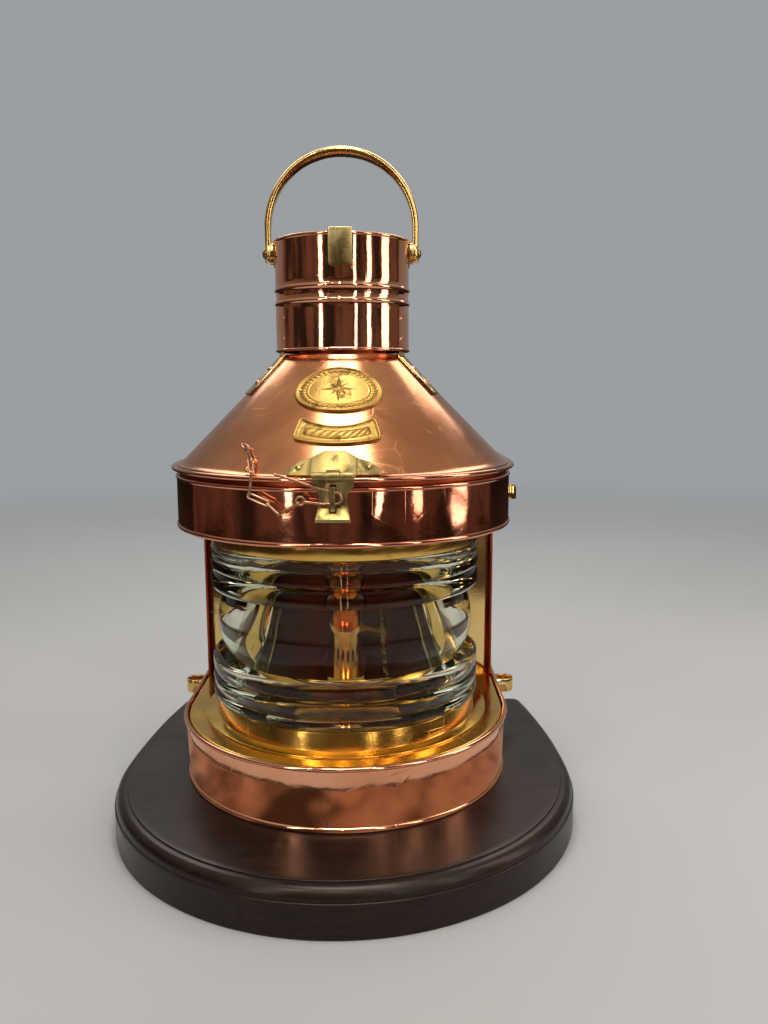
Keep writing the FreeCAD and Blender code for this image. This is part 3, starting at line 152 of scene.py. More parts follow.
def skin(name, rings, loop=True):
    """Quads between rings of points; an open run of rings gets flat ends."""
    count = len(rings[0])
    vertices = [point for ring in rings for point in ring]
    faces = []
    last = len(rings) if loop else len(rings) - 1
    for i in range(last):
        a = i * count
        b = ((i + 1) % len(rings)) * count
        for j in range(count):
            k = (j + 1) % count
            faces.append((a + j, a + k, b + k, b + j))
    if not loop:
        faces.append(tuple(range(count))[::-1])
        faces.append(tuple(range(last * count, last * count + count)))
    return mesh_object(name, vertices, faces)


def round_rings(section, steps, start=0.0, sweep=360.0):
    """Rings of a section of (radius, z) turned about the lantern's axis."""
    full = abs(sweep) >= 360
    count = steps if full else steps + 1
    rings = []
    for i in range(count):
        a = math.radians(start + sweep * i / steps)
        rings.append([Vector((r * math.cos(a), r * math.sin(a), z)) for r, z in section])
    return rings


def outline(step=7 * MM, front_steps=150, corner_steps=8):
    """Stations (x, y, outward x, outward y) round the body's plan, starting at the back's middle."""
    straight = half - corner
    side = back - corner
    n = max(2, int(straight / step))
    right = [(straight * i / n, back, 0.0, 1.0) for i in range(n)]
    for i in range(corner_steps):
        a = math.pi / 2 * (1 - i / corner_steps)
        c, s = math.cos(a), math.sin(a)
        right.append((straight + corner * c, side + corner * s, c, s))
    n = int(side / step)
    right += [(half, side * (1 - i / n), 1.0, 0.0) for i in range(n)]
    for i in range(front_steps // 2):
        a = -math.pi / 2 * i / (front_steps // 2)
        right.append((half * math.cos(a), half * math.sin(a), math.cos(a), math.sin(a)))
    front = (0.0, -half, 0.0, -1.0)
    left = [(-x, y, -nx, ny) for x, y, nx, ny in reversed(right[1:])]
    return right + [front] + left


def body_rings(section):
    """Rings of a section of (outwards, z) run round the body's plan."""
    return [[Vector((x + nx * out, y + ny * out, z)) for out, z in section]
            for x, y, nx, ny in outline()]


def bead(centre, z, radius, start, end, steps=10):
    """Round part of a section; angle 0 points outwards, 90 up."""
    points = []
    for i in range(steps + 1):
        a = math.radians(start + (end - start) * i / steps)
        points.append((centre + radius * math.cos(a), z + radius * math.sin(a)))
    return points


def rise(a, b, steps):
    """Straight stretch between two section points, without its ends."""
    return [(a[0] + (b[0] - a[0]) * i / steps, a[1] + (b[1] - a[1]) * i / steps)
            for i in range(1, steps)]


def wobble(obj, amount, size, seed):
    """Gentle unevenness of hand-worked sheet."""
    mesh = obj.data
    shift = Vector((seed * 7.31, seed * 3.17, seed * 5.53))
    moves = [v.normal * (amount * noise.noise(v.co / size + shift)) for v in mesh.vertices]
    for vertex, move in zip(mesh.vertices, moves):
        vertex.co += move
    mesh.update()


def dent(obj, centre, radius, depth):
    """Small dent pressed into a sheet."""
    middle = Vector(centre)
    inward = Vector((middle.x, middle.y, 0)).normalized() * -1
    for vertex in obj.data.vertices:
        d = (vertex.co - middle).length / radius
        if d < 1:
            vertex.co += inward * (depth * (1 - d * d) ** 2)
    obj.data.update()


def apply_modifiers(obj):
    bpy.context.view_layer.update()
    graph = bpy.context.evaluated_depsgraph_get()
    made = bpy.data.meshes.new_from_object(obj.evaluated_get(graph))
    obj.modifiers.clear()
    obj.data = made


def refined(node, name, bevel, material):
    """A copy of a CAD piece with its edges eased, standing for it."""
    cad_weld = 2e-6
    flat, crease, sharp = 1.0, 32.0, 40.0  # degrees: merged, bevelled, shaded sharp
    source = frame["nodes"][node]
    body = source["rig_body"]
    mesh = bpy.data.meshes.new(name)
    work = bmesh.new()
    work.from_mesh(source.data)
    bmesh.ops.remove_doubles(work, verts=work.verts, dist=cad_weld)
    bmesh.ops.dissolve_limit(work, angle_limit=math.radians(flat), verts=work.verts, edges=work.edges)
    work.to_mesh(mesh)
    work.free()
    obj = bpy.data.objects.new(name, mesh)
    scene.collection.objects.link(obj)
    tool = obj.modifiers.new("ease", "BEVEL")
    tool.width = bevel
    tool.segments = 2
    tool.limit_method = "ANGLE"
    tool.angle_limit = math.radians(crease)
    tool.harden_normals = False
    apply_modifiers(obj)
    return finish_mesh(obj, material, body, [node], sharp)


# ---------------------------------------------------------------- material helpers
class Graph:
    """Short forms for building one material's nodes."""

    def __init__(self, name):
        self.material = bpy.data.materials.new(name)
        self.material.use_nodes = True
        self.tree = self.material.node_tree
        self.tree.nodes.clear()
        self.out = self.tree.nodes.new("ShaderNodeOutputMaterial")
        self.shader = self.tree.nodes.new("ShaderNodeBsdfPrincipled")
        self.link(self.shader.outputs[0], self.out.inputs["Surface"])
        self.place = self.tree.nodes.new("ShaderNodeTexCoord").outputs["Object"]

    def link(self, source, target):
        self.tree.links.new(source, target)

    def feed(self, socket, value):
        if isinstance(value, bpy.types.NodeSocket):
            self.link(value, socket)
        else:
            socket.default_value = value

    def stretched(self, x, y, z):
        node = self.tree.nodes.new("ShaderNodeMapping")
        node.inputs["Scale"].default_value = (x, y, z)
        self.link(self.place, node.inputs["Vector"])
        return node.outputs[0]

    def noise(self, scale, detail=2.0, rough=0.5, warp=0.0, place=None):
        node = self.tree.nodes.new("ShaderNodeTexNoise")
        node.inputs["Scale"].default_value = scale
        node.inputs["Detail"].default_value = detail
        node.inputs["Roughness"].default_value = rough
        node.inputs["Distortion"].default_value = warp
        self.link(place or self.place, node.inputs["Vector"])
        return node.outputs["Fac"]

    def cracks(self, scale, place=None):
        node = self.tree.nodes.new("ShaderNodeTexVoronoi")
        node.feature = "DISTANCE_TO_EDGE"
        node.inputs["Scale"].default_value = scale
        self.link(place or self.place, node.inputs["Vector"])
        return node.outputs["Distance"]

    def remap(self, value, low, high, to_low=0.0, to_high=1.0):
        node = self.tree.nodes.new("ShaderNodeMapRange")
        node.interpolation_type = "SMOOTHSTEP"
        self.link(value, node.inputs["Value"])
        for name, number in (("From Min", low), ("From Max", high), ("To Min", to_low), ("To Max", to_high)):
            node.inputs[name].default_value = number
        return node.outputs["Result"]

    def math(self, kind, a, b):
        node = self.tree.nodes.new("ShaderNodeMath")
        node.operation = kind
        self.feed(node.inputs[0], a)
        self.feed(node.inputs[1], b)
        return node.outputs[0]

    def mix(self, factor, a, b):
        node = self.tree.nodes.new("ShaderNodeMix")
        node.data_type = "RGBA"
        self.feed(node.inputs["Factor"], factor)
        self.feed(node.inputs["A"], a if isinstance(a, bpy.types.NodeSocket) else (*a, 1.0))
        self.feed(node.inputs["B"], b if isinstance(b, bpy.types.NodeSocket) else (*b, 1.0))
        return node.outputs["Result"]

    def bump(self, height, distance, strength=1.0, under=None):
        node = self.tree.nodes.new("ShaderNodeBump")
        node.inputs["Strength"].default_value = strength
        node.inputs["Distance"].default_value = distance
        self.link(height, node.inputs["Height"])
        if under is not None:
            self.link(under, node.inputs["Normal"])
        return node.outputs[0]

    def edges(self, low, high):
        """1 on worn outer edges."""
        node = self.tree.nodes.new("ShaderNodeNewGeometry")
        return self.remap(node.outputs["Pointiness"], low, high)

    def set(self, **values):
        for name, value in values.items():
            self.feed(self.shader.inputs[name.replace("_", " ")], value)
        return self.material


def metal(name, clean, tarnish, stain, shine, dull, stain_share=0.62, wave=0.25, scratch=0.5, edge=None):
    """Polished sheet or cast metal: cloudy tarnish, stains, hairline scratches and a hand-worked surface.

    shine and dull are the roughness of its brightest and dullest places; wave is how uneven it is.
    """
    g = Graph(name)
    cloud = g.remap(g.noise(9, 4, 0.55, 0.6), 0.36, 0.68)
    colour = g.mix(cloud, clean, tarnish)
    spots = g.remap(g.noise(55, 5, 0.62, 0.3), stain_share, stain_share + 0.12)
    colour = g.mix(g.math("MULTIPLY", spots, 0.75), colour, stain)
    upright_hairs = g.remap(g.cracks(34, g.stretched(1.0, 1.0, 0.12)), 0.0, 0.012, 1.0, 0.0)
    level_hairs = g.remap(g.cracks(26, g.stretched(0.2, 0.3, 1.0)), 0.0, 0.010, 1.0, 0.0)
    fade = g.remap(g.noise(18, 2), 0.45, 0.65)
    hairs = g.math("MULTIPLY", g.math("MAXIMUM", upright_hairs, level_hairs), fade)
    if edge:
        colour = g.mix(g.edges(0.53, 0.60), colour, edge)
    polish = g.noise(420, 3, 0.6, 0.0, g.stretched(0.35, 0.35, 1.0))
    rough = g.remap(g.noise(16, 4, 0.6), 0.30, 0.75, shine, dull)
    rough = g.math("ADD", rough, g.math("MULTIPLY", hairs, 0.16 * scratch))
    rough = g.math("ADD", rough, g.math("MULTIPLY", spots, 0.14))
    waves, ripples = g.noise(15, 1.5, 0.4), g.noise(75, 2, 0.5)
    normal = g.bump(waves, 4 * MM, wave)
    normal = g.bump(ripples, 0.5 * MM, wave * 0.8, normal)
    normal = g.bump(polish, 0.03 * MM, 0.5, normal)
    normal = g.bump(hairs, 0.06 * MM, scratch, normal)
    g.set(Base_Color=colour, Metallic=1.0, Roughness=rough, Normal=normal)
    return g.material


def glass_material(name, tint):
    """Cast glass with gentle waves and faint smears."""
    g = Graph(name)
    normal = g.bump(g.noise(22, 1.5, 0.4), 1.2 * MM, 0.16)
    normal = g.bump(g.noise(90, 2, 0.5), 0.12 * MM, 0.2, normal)
    smear = g.remap(g.noise(30, 4, 0.6), 0.5, 0.8, 0.0, 0.03)
    return g.set(Base_Color=(*tint, 1.0), Transmission_Weight=1.0, IOR=1.4, Roughness=smear, Normal=normal)


def wood_material():
    """Dark polished wood with its grain from side to side, open pores and lighter worn edges."""
    g = Graph("ebonised_wood")
    along = g.stretched(1.0, 9.0, 9.0)
    grain = g.noise(22, 6, 0.6, 0.8, along)
    pores = g.noise(160, 3, 0.6, 0.0, g.stretched(0.35, 3.0, 3.0))
    colour = g.mix(g.remap(grain, 0.35, 0.7), (0.0060, 0.0036, 0.0030), (0.015, 0.0080, 0.0060))
    colour = g.mix(g.edges(0.52, 0.58), colour, (0.036, 0.021, 0.015))
    rough = g.remap(g.noise(14, 4, 0.6), 0.3, 0.75, 0.26, 0.40)
    rough = g.math("ADD", rough, g.remap(pores, 0.55, 0.8, 0.0, 0.10))
    normal = g.bump(grain, 0.15 * MM, 0.35)
    normal = g.bump(pores, 0.06 * MM, 0.45, normal)
    return g.set(Base_Color=colour, Roughness=rough, Normal=normal, Specular_IOR_Level=0.30,
                 Specular_Tint=(1.0, 0.82, 0.70, 1.0), Coat_Weight=0.08, Coat_Roughness=0.18)


def plain_material(name, first, second, rough_low, rough_high, scale, metallic=0.0, weave=None):
    """Two mottled colours with a fine uneven surface, and strands where weave is given."""
    g = Graph(name)
    colour = g.mix(g.remap(g.noise(scale, 4, 0.6), 0.35, 0.7), first, second)
    rough = g.remap(g.noise(scale * 1.7, 3), 0.3, 0.7, rough_low, rough_high)
    normal = g.bump(g.noise(scale * 4, 3, 0.6), 0.2 * MM, 0.5)
    if weave:
        strands = g.noise(weave, 1, 0.3, 0.0, g.stretched(1.0, 1.0, 0.35))
        normal = g.bump(strands, 0.3 * MM, 0.7, normal)
    return g.set(Base_Color=colour, Roughness=rough, Metallic=metallic, Normal=normal)


copper = metal("polished_copper", (0.88, 0.37, 0.215), (0.66, 0.23, 0.125), (0.36, 0.12, 0.07),
               0.05, 0.15, edge=(0.94, 0.50, 0.33))
base_copper = metal("base_copper", (0.98, 0.49, 0.29), (0.86, 0.38, 0.21), (0.46, 0.18, 0.11),
                    0.04, 0.10, wave=0.22, edge=(0.97, 0.58, 0.42))
spun_copper = metal("spun_copper", (0.75, 0.325, 0.145), (0.58, 0.23, 0.095), (0.40, 0.15, 0.06),
                    0.13, 0.24, wave=0.16, edge=(0.93, 0.50, 0.33))
dull_copper = metal("dull_copper", (0.40, 0.085, 0.030), (0.26, 0.052, 0.020), (0.12, 0.027, 0.013),
                    0.30, 0.46, wave=0.10)
brass = metal("polished_brass", (0.87, 0.60, 0.20), (0.68, 0.42, 0.11), (0.34, 0.20, 0.05),
              0.09, 0.22, stain_share=0.60, edge=(0.95, 0.76, 0.38))
tray_brass = metal("tray_brass", (0.88, 0.55, 0.12), (0.70, 0.39, 0.07), (0.40, 0.19, 0.035),
                   0.12, 0.24, wave=0.5, edge=(0.95, 0.74, 0.32))
aged_brass = metal("aged_brass", (0.47, 0.35, 0.12), (0.31, 0.22, 0.07), (0.12, 0.09, 0.035),
                   0.20, 0.38, stain_share=0.54, wave=0.35, scratch=0.8, edge=(0.90, 0.76, 0.36))
plate_brass = metal("plate_brass", (0.40, 0.24, 0.065), (0.28, 0.165, 0.04), (0.10, 0.06, 0.02),
                    0.32, 0.48, stain_share=0.52, wave=0.3, edge=(0.95, 0.74, 0.34))
hasp_brass = metal("hasp_brass", (0.34, 0.255, 0.085), (0.22, 0.16, 0.05), (0.09, 0.07, 0.03),
                   0.34, 0.52, stain_share=0.5, wave=0.5, scratch=0.8, edge=(0.80, 0.66, 0.30))
lamp_brass = metal("lamp_brass", (0.95, 0.50, 0.15), (0.80, 0.36, 0.09), (0.40, 0.18, 0.05),
                   0.10, 0.22, wave=0.4, edge=(0.98, 0.70, 0.36))
wire_metal = metal("drawn_wire", (0.56, 0.34, 0.20), (0.38, 0.21, 0.12), (0.18, 0.10, 0.06),
                   0.24, 0.40, wave=0.3)
solder_metal = metal("bright_solder", (0.90, 0.36, 0.14), (0.62, 0.22, 0.08), (0.30, 0.11, 0.05),
                     0.20, 0.40, wave=0.5)
tinned = metal("tinned_sheet", (0.22, 0.19, 0.165), (0.12, 0.10, 0.085), (0.05, 0.04, 0.034),
               0.36, 0.55, stain_share=0.5)
glass = glass_material("lens_glass", (0.95, 0.96, 0.80))
amber_glass = glass_material("chimney_glass", (1.0, 0.66, 0.30))
wood = wood_material()
steel = plain_material("blued_steel", (0.10, 0.095, 0.09), (0.17, 0.15, 0.13), 0.32, 0.5, 60, 1.0)
gasket = plain_material("packing", (0.03, 0.028, 0.025), (0.06, 0.055, 0.05), 0.6, 0.85, 120)
cotton = plain_material("wick_cotton", (0.62, 0.56, 0.45), (0.40, 0.34, 0.25), 0.8, 0.95, 300, weave=900)


# ---------------------------------------------------------------- copper body
def base_drum():
    """Wall that widens from a rolled bead at its foot to a raised bead at its top."""
    bead_r = 2.2 * MM
    low, high = foot + bead_r, base_top - bead_r
    section = bead(-4.6 * MM, low, bead_r, -150, 74)
    section += rise((-4.0 * MM, low + 2.1 * MM), (-1.6 * MM, high - bead_r), 12)
    section += bead(-1.8 * MM, high, bead_r, -84, 150)
    section += rise((-3.0 * MM, high - 1 * MM), (-5.3 * MM, low + 1 * MM), 4)
    obj = skin("base_drum", body_rings(section))
    wobble(obj, 0.32 * MM, 42 * MM, 1)
    dent(obj, (-49 * MM, -152 * MM, foot + 13 * MM), 6 * MM, 1.0 * MM)
    dent(obj, (62 * MM, -147 * MM, foot + 30 * MM), 11 * MM, 0.5 * MM)
    return finish_mesh(obj, base_copper, "lantern_body", ["base_shell"])


def band_shell():
    """Straight wall between two beads."""
    bead_r, wall_in, inside = 2.3 * MM, -1.2 * MM, -2.5 * MM
    low, high = band_low + bead_r, band_high - bead_r
    section = bead(-bead_r, low, bead_r, -150, 61)
    section += rise((wall_in, low + 2.0 * MM), (wall_in, high - 1.9 * MM), 12)
    section += bead(inside, high, bead_r, -56, 150)
    section += rise((inside, high), (inside, low), 4)
    obj = skin("band_shell", body_rings(section))
    wobble(obj, 0.42 * MM, 30 * MM, 2)
    return finish_mesh(obj, copper, "lantern_body", ["band"])


def opening_point(x, y, radius, limit, z):
    """Where the ray from the axis through (x, y) meets a round opening with a flat back."""
    length = math.hypot(x, y)
    r = limit * length / y if y / length * radius > limit else radius
    return Vector((x / length * r, y / length * r, z))


def spread_rings(section, inner_top, inner_bottom, radius, limit, steps):
    """Body-shaped rings whose flat part runs in to a round opening."""
    rings = []
    for x, y, nx, ny in outline():
        ring = [Vector((x + nx * out, y + ny * out, z)) for out, z in section]
        edge = ring[-1]
        inner = opening_point(edge.x, edge.y, radius, limit, inner_top)
        ring += [edge.lerp(inner, i / steps) for i in range(1, steps + 1)]
        ring.append(Vector((inner.x, inner.y, inner_bottom)))
        rings.append(ring)
    return rings


def brim():
    """Flat sheet under the cone, with its edge rolled down round the band."""
    roll_r, sheet, overlap = 2.1 * MM, 1.5 * MM, 3 * MM
    section = bead(1.2 * MM, brim_top - roll_r, roll_r, -197, 90, 18)
    rings = spread_rings(section, brim_top, brim_top - sheet, cone_foot - overlap, back_y - overlap, 4)
    obj = skin("brim", rings)
    wobble(obj, 0.22 * MM, 60 * MM, 3)
    return finish_mesh(obj, copper, "hood", ["hood_brim"])


def cut_back(obj, y):
    """Clip a turned shell flat behind y."""
    work = bmesh.new()
    work.from_mesh(obj.data)
    cut = bmesh.ops.bisect_plane(work, geom=work.verts[:] + work.edges[:] + work.faces[:], dist=WELD,
                                 plane_co=(0, y, 0), plane_no=(0, 1, 0), clear_outer=True)
    rim = [e for e in cut["geom_cut"] if isinstance(e, bmesh.types.BMEdge)]
    bmesh.ops.edgenet_fill(work, edges=rim)
    work.to_mesh(obj.data)
    work.free()


def cone():
    """Spun cone whose foot flares out on to the brim, along a curve from a to c that b pulls in."""
    z = brim_top
    flare_end = cone_foot - 4.5 * MM
    a = Vector((cone_foot + 2.8 * MM, z + 0.35 * MM))
    b = Vector((cone_foot - 0.3 * MM, z + 0.3 * MM))
    c = Vector((flare_end, cone_z(flare_end)))
    flare = [a.lerp(b, t).lerp(b.lerp(c, t), t) for t in (i / 9 for i in range(10))]
    top = (neck_r, neck_z)
    section = [tuple(p) for p in flare]
    section += rise(section[-1], top, 26)
    section += [top, (neck_r - 1.8 * MM, neck_z), (cone_foot - 3 * MM, z + 0.1 * MM)]
    obj = skin("cone", round_rings(section, 224))
    wobble(obj, 0.30 * MM, 70 * MM, 4)
    cut_back(obj, back_y - 1.2 * MM)
    return finish_mesh(obj, spun_copper, "hood", ["hood_cone"])


def swage(wall_r, middle, width, height):
    """Raised or sunk ring on a wall; a negative height sinks it."""
    steps = 8
    return [(wall_r + height * math.sin(math.pi * i / steps) ** 1.5,
             middle + width * (i / steps - 0.5)) for i in range(steps + 1)]


def stack():
    """Chimney with a bead at its foot, a groove between two swaged rings and a rolled rim."""
    low, high = stack_low, stack_high
    foot_bead, rim_bead, sheet = 1.36 * MM, 1.6 * MM, 1.3 * MM
    groove = foot + 454.6 * MM
    section = bead(stack_r - 0.4 * MM, low + foot_bead, foot_bead, -150, 73, 8)
    section += rise((stack_r, low + 2.7 * MM), (stack_r, groove - 8.5 * MM), 9)
    section += swage(stack_r, groove - 5.8 * MM, 4.6 * MM, 1.15 * MM)
    section += swage(stack_r, groove + 0.4 * MM, 6.4 * MM, -0.55 * MM)[1:-1]
    section += swage(stack_r, groove + 6.6 * MM, 5.4 * MM, 1.25 * MM)
    section += rise((stack_r, groove + 9.6 * MM), (stack_r, high - 3.3 * MM), 9)
    section += bead(stack_r - 0.1 * MM, high - rim_bead, rim_bead, -84, 215, 16)
    section += rise((stack_r - sheet, high - 3 * MM), (stack_r - sheet, low), 6)
    obj = skin("stack", round_rings(section, 200))
    wobble(obj, 0.20 * MM, 32 * MM, 5)
    return finish_mesh(obj, base_copper, "hood", ["chimney_shell"])


def tray_dish():
    """Shallow ring with a turned-down edge; its opening is fully round, so nothing limits it."""
    z = tray_z
    skirt, edge_r, sheet = 9 * MM, 1.7 * MM, 1.5 * MM
    opening_r, no_limit = 117 * MM, 1.0
    section = [(-6.2 * MM, z - skirt), (-4.7 * MM, z - skirt)]
    section += bead(-6.4 * MM, z - edge_r, edge_r, 0, 90, 6)
    rings = spread_rings(section, z, z - sheet, opening_r, no_limit, 12)
    for ring in rings:
        ring.append(Vector((ring[0].x, ring[0].y, z - sheet)))
    obj = skin("tray_dish", rings)
    wobble(obj, 0.30 * MM, 28 * MM, 6)
    return finish_mesh(obj, tray_brass, "lantern_body", ["tray"])


# ---------------------------------------------------------------- lens
def lens_section():
    """Convex belt with three rounded prism rings above and below it."""
    middle = (glass_low + glass_high) / 2
    belt = 32.6 * MM
    notch, crest = 125.0 * MM, 130.3 * MM
    heights = (18.6 * MM, 14.8 * MM, 8.6 * MM)
    lean, fullness = 0.72, 2.6             # crest nearer the belt; flatter crest
    upper = []
    z = middle + belt
    for height in heights:
        for i in range(13):
            t = i / 12
            swell = (1 - abs(2 * t ** lean - 1) ** fullness) ** 0.5
            upper.append((notch + (crest - notch) * swell, z + height * t))
        z += height
    edge, bulge = 115.0 * MM, 124.3 * MM
    belt_points = []
    for i in range(25):
        t = -1 + 2 * i / 24
        belt_points.append((edge + (bulge - edge) * (1 - t * t), middle + belt * t))
    lower = [(r, 2 * middle - z) for r, z in reversed(upper)]
    inner = 108.0 * MM
    top, bottom = (inner, glass_high), (inner, glass_low)
    return lower + belt_points + upper + [top] + rise(top, bottom, 10) + [bottom]


def lens_glass():
    past_side = 33.7                       # degrees that the glass runs back past each side
    rings = round_rings(lens_section(), 220, past_side, -(180 + 2 * past_side))
    obj = skin("lens_glass", rings, loop=False)
    wobble(obj, 0.10 * MM, 30 * MM, 7)
    return finish_mesh(obj, glass, "lantern_body", ["lens"], sharp=50)


# ---------------------------------------------------------------- plinth
def plinth_outline():
    """Stations round the plinth's plan: half round, bowed sides, flat back with small corners."""
    wide, back_edge = plinth_high.x, plinth_high.y
    y0 = plinth_low.y + wide
    bow_r, corner_r = 900 * MM, 14 * MM
    swing = math.asin((back_edge - corner_r - y0) / bow_r)
    x_corner = wide - bow_r * (1 - math.cos(swing)) - corner_r
    y_corner = back_edge - corner_r
    right = []

    def arc(x, y, r, start, end, steps, first=1):
        for i in range(first, steps + 1):
            a = start + (end - start) * i / steps
            right.append((x + r * math.cos(a), y + r * math.sin(a), math.cos(a), math.sin(a)))

    arc(0.0, y0, wide, -math.pi / 2, 0.0, 60, 0)
    arc(wide - bow_r, y0, bow_r, 0.0, swing, 24)
    arc(x_corner, y_corner, corner_r, swing, math.pi / 2, 10)
    right += [(x_corner * (1 - i / 12), back_edge, 0.0, 1.0) for i in range(1, 12)]
    left = [(-x, y, -nx, ny) for x, y, nx, ny in reversed(right[1:])]
    return right + [(0.0, back_edge, 0.0, 1.0)] + left


def plinth():
    """Upright side, a small step, a quarter round and the top, with eased corners."""
    top = plinth_high.z
    shoulder = top - 12.1 * MM
    step = top - 1.3 * MM
    section = [(-1.5 * MM, 0.0), (-0.3 * MM, 0.5 * MM), (0.0, 1.8 * MM)]
    section += rise((0, 1.8 * MM), (0, shoulder - 0.9 * MM), 8)
    section += bead(-0.9 * MM, shoulder - 0.9 * MM, 0.9 * MM, 0, 80, 4)
    section += [(-1.25 * MM, shoulder + 0.1 * MM)]
    section += bead(-10.8 * MM, step - 9.5 * MM, 9.5 * MM, 2, 90, 14)
    section += [(-12.0 * MM, step + 0.05 * MM)]
    section += bead(-12.7 * MM, top - 0.6 * MM, 0.6 * MM, 0, 90, 4)
    section += [(-18 * MM, top)]
    stations = plinth_outline()
    loops = [[Vector((x + nx * out, y + ny * out, z)) for x, y, nx, ny in stations] for out, z in section]
    obj = skin("plinth", loops, loop=False)
    wobble(obj, 0.25 * MM, 90 * MM, 8)
    return finish_mesh(obj, wood, "lantern_body", ["wooden_plinth"], sharp=30)


# ---------------------------------------------------------------- bail
BAIL_EYE = 8.0 * MM                        # radius of its flat round ends


def bail_ring(along, path_r, spring_z, pivot_z):
    """Half-oval section at a distance along one side of the bail, measured from its top."""
    bend = math.pi / 2 * path_r
    side = 1 if along >= 0 else -1
    d = abs(along)
    if d <= bend:
        a = d / path_r
        centre = Vector((side * path_r * math.sin(a), 0, spring_z + path_r * math.cos(a)))
        out = Vector((side * math.sin(a), 0, math.cos(a)))
    else:
        centre = Vector((side * path_r, 0, spring_z - (d - bend)))
        out = Vector((side, 0, 0))
    t = min(1.0, d / (bend + 18 * MM))
    width = (18.0 - 8.4 * t ** 1.3) * MM
    thick = (8.4 - 2.6 * t) * MM
    off = centre.z - pivot_z
    if d > bend and abs(off) < BAIL_EYE:
        disc = 2 * math.sqrt(max(BAIL_EYE ** 2 - off * off, 1e-9))
        width = disc if off < 0 else max(width, disc)
    ring = []
    for i in range(28):
        a = 2 * math.pi * i / 28
        c, s = math.cos(a), math.sin(a)
        across = math.copysign(abs(c) ** 0.82, c)
        lift = 0.56 * s if s > 0 else -0.42 * abs(s) ** 0.34
        ring.append(centre + Vector((0, across * width / 2, 0)) + out * (thick * lift))
    return ring


def handle():
    """Bar bent to a half circle on two straight legs, wide and thick at its top."""
    low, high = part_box("bail")
    pivot_z = low.z + BAIL_EYE
    spring_z = pivot_z + 23.0 * MM
    half_thick, end = 4.2 * MM, 7.95 * MM  # end: how far the bar runs past the pivot
    path_r = high.z - half_thick - spring_z
    reach = math.pi / 2 * path_r + (spring_z - pivot_z) + end
    count = 150
    rings = [bail_ring(reach * (2 * i / count - 1), path_r, spring_z, pivot_z)
             for i in range(count + 1)]
    obj = skin("handle", rings, loop=False)
    wobble(obj, 0.22 * MM, 14 * MM, 9)
    return finish_mesh(obj, brass, "bail", ["bail"], sharp=50)


# ---------------------------------------------------------------- plates on the hood
PLATE = 1.6 * MM                           # how far a plate's ground stands off the cone
UNDERSIDE = 0.2 * MM                       # how far its underside does


def hood_point(u, v, lift, centre_r):
    """Point u across and v up the slope from the front at a radius, lifted off the hood."""
    centre_z = cone_z(centre_r)
    r = centre_r - v * cone_run / slant
    for _ in range(6):
        y = -math.sqrt(r * r - u * u)
        r += ((y + centre_r) * normal_z + (cone_z(r) - centre_z) * normal_r - v) * cone_run / slant
    y = -math.sqrt(r * r - u * u)
    out = Vector((u / r * normal_r, y / r * normal_r, normal_z))
    return Vector((u, y, cone_z(r))) + out * lift


def smooth(value, low, high):
    """Soft step from 0 at low to 1 at high."""
    t = min(1.0, max(0.0, (value - low) / (high - low)))
    return t * t * (3 - 2 * t)


def ridge(value, centre, half_width):
    """Rounded ridge, 1 at its crest."""
    t = abs(value - centre) / half_width
    return math.sqrt(1 - t * t) if t < 1 else 0.0


def star_height(u, v):
    """Eight-pointed compass star with split facets."""
    long_point, short_point, root_width = 14.0 * MM, 9.0 * MM, 2.9 * MM
    r = math.hypot(u, v)
    if r > 15 * MM:
        return 0.0
    a = math.atan2(v, u)
    best = 0.0
    for k in range(8):
        length = long_point if k % 2 == 0 else short_point
        d = math.atan2(math.sin(a - k * math.pi / 4), math.cos(a - k * math.pi / 4))
        along, across = r * math.cos(d), abs(r * math.sin(d))
        width = root_width * (1 - along / length)
        if 0 <= along < length and across < width:
            best = max(best, (1 - across / width) * (0.35 + 0.65 * (1 - along / length)))
    return best


def oval_height(u, v, rho, theta):
    """Relief of the oval plate over its base, in metres."""
    mean_radius, beads, bead_line = 33 * MM, 40, 6.6 * MM
    edge = (1 - rho) * mean_radius
    rim = 1.0 * ridge(edge, 1.5 * MM, 1.7 * MM) if edge < 3.2 * MM else 0.0
    line = 0.35 * ridge(edge, 10.2 * MM, 0.6 * MM)
    phase = (theta / (2 * math.pi) * beads) % 1.0 - 0.5
    dot_across = math.hypot(phase * 2.0, (edge - bead_line) / (1.9 * MM))
    dots = 0.75 * math.sqrt(1 - dot_across ** 2) if dot_across < 1 else 0.0
    star = 0.95 * star_height(u, v)
    grain = 0.05 * noise.noise(Vector((u, v, 0)) / (1.6 * MM))
    return (rim + line + dots + star + grain) * MM


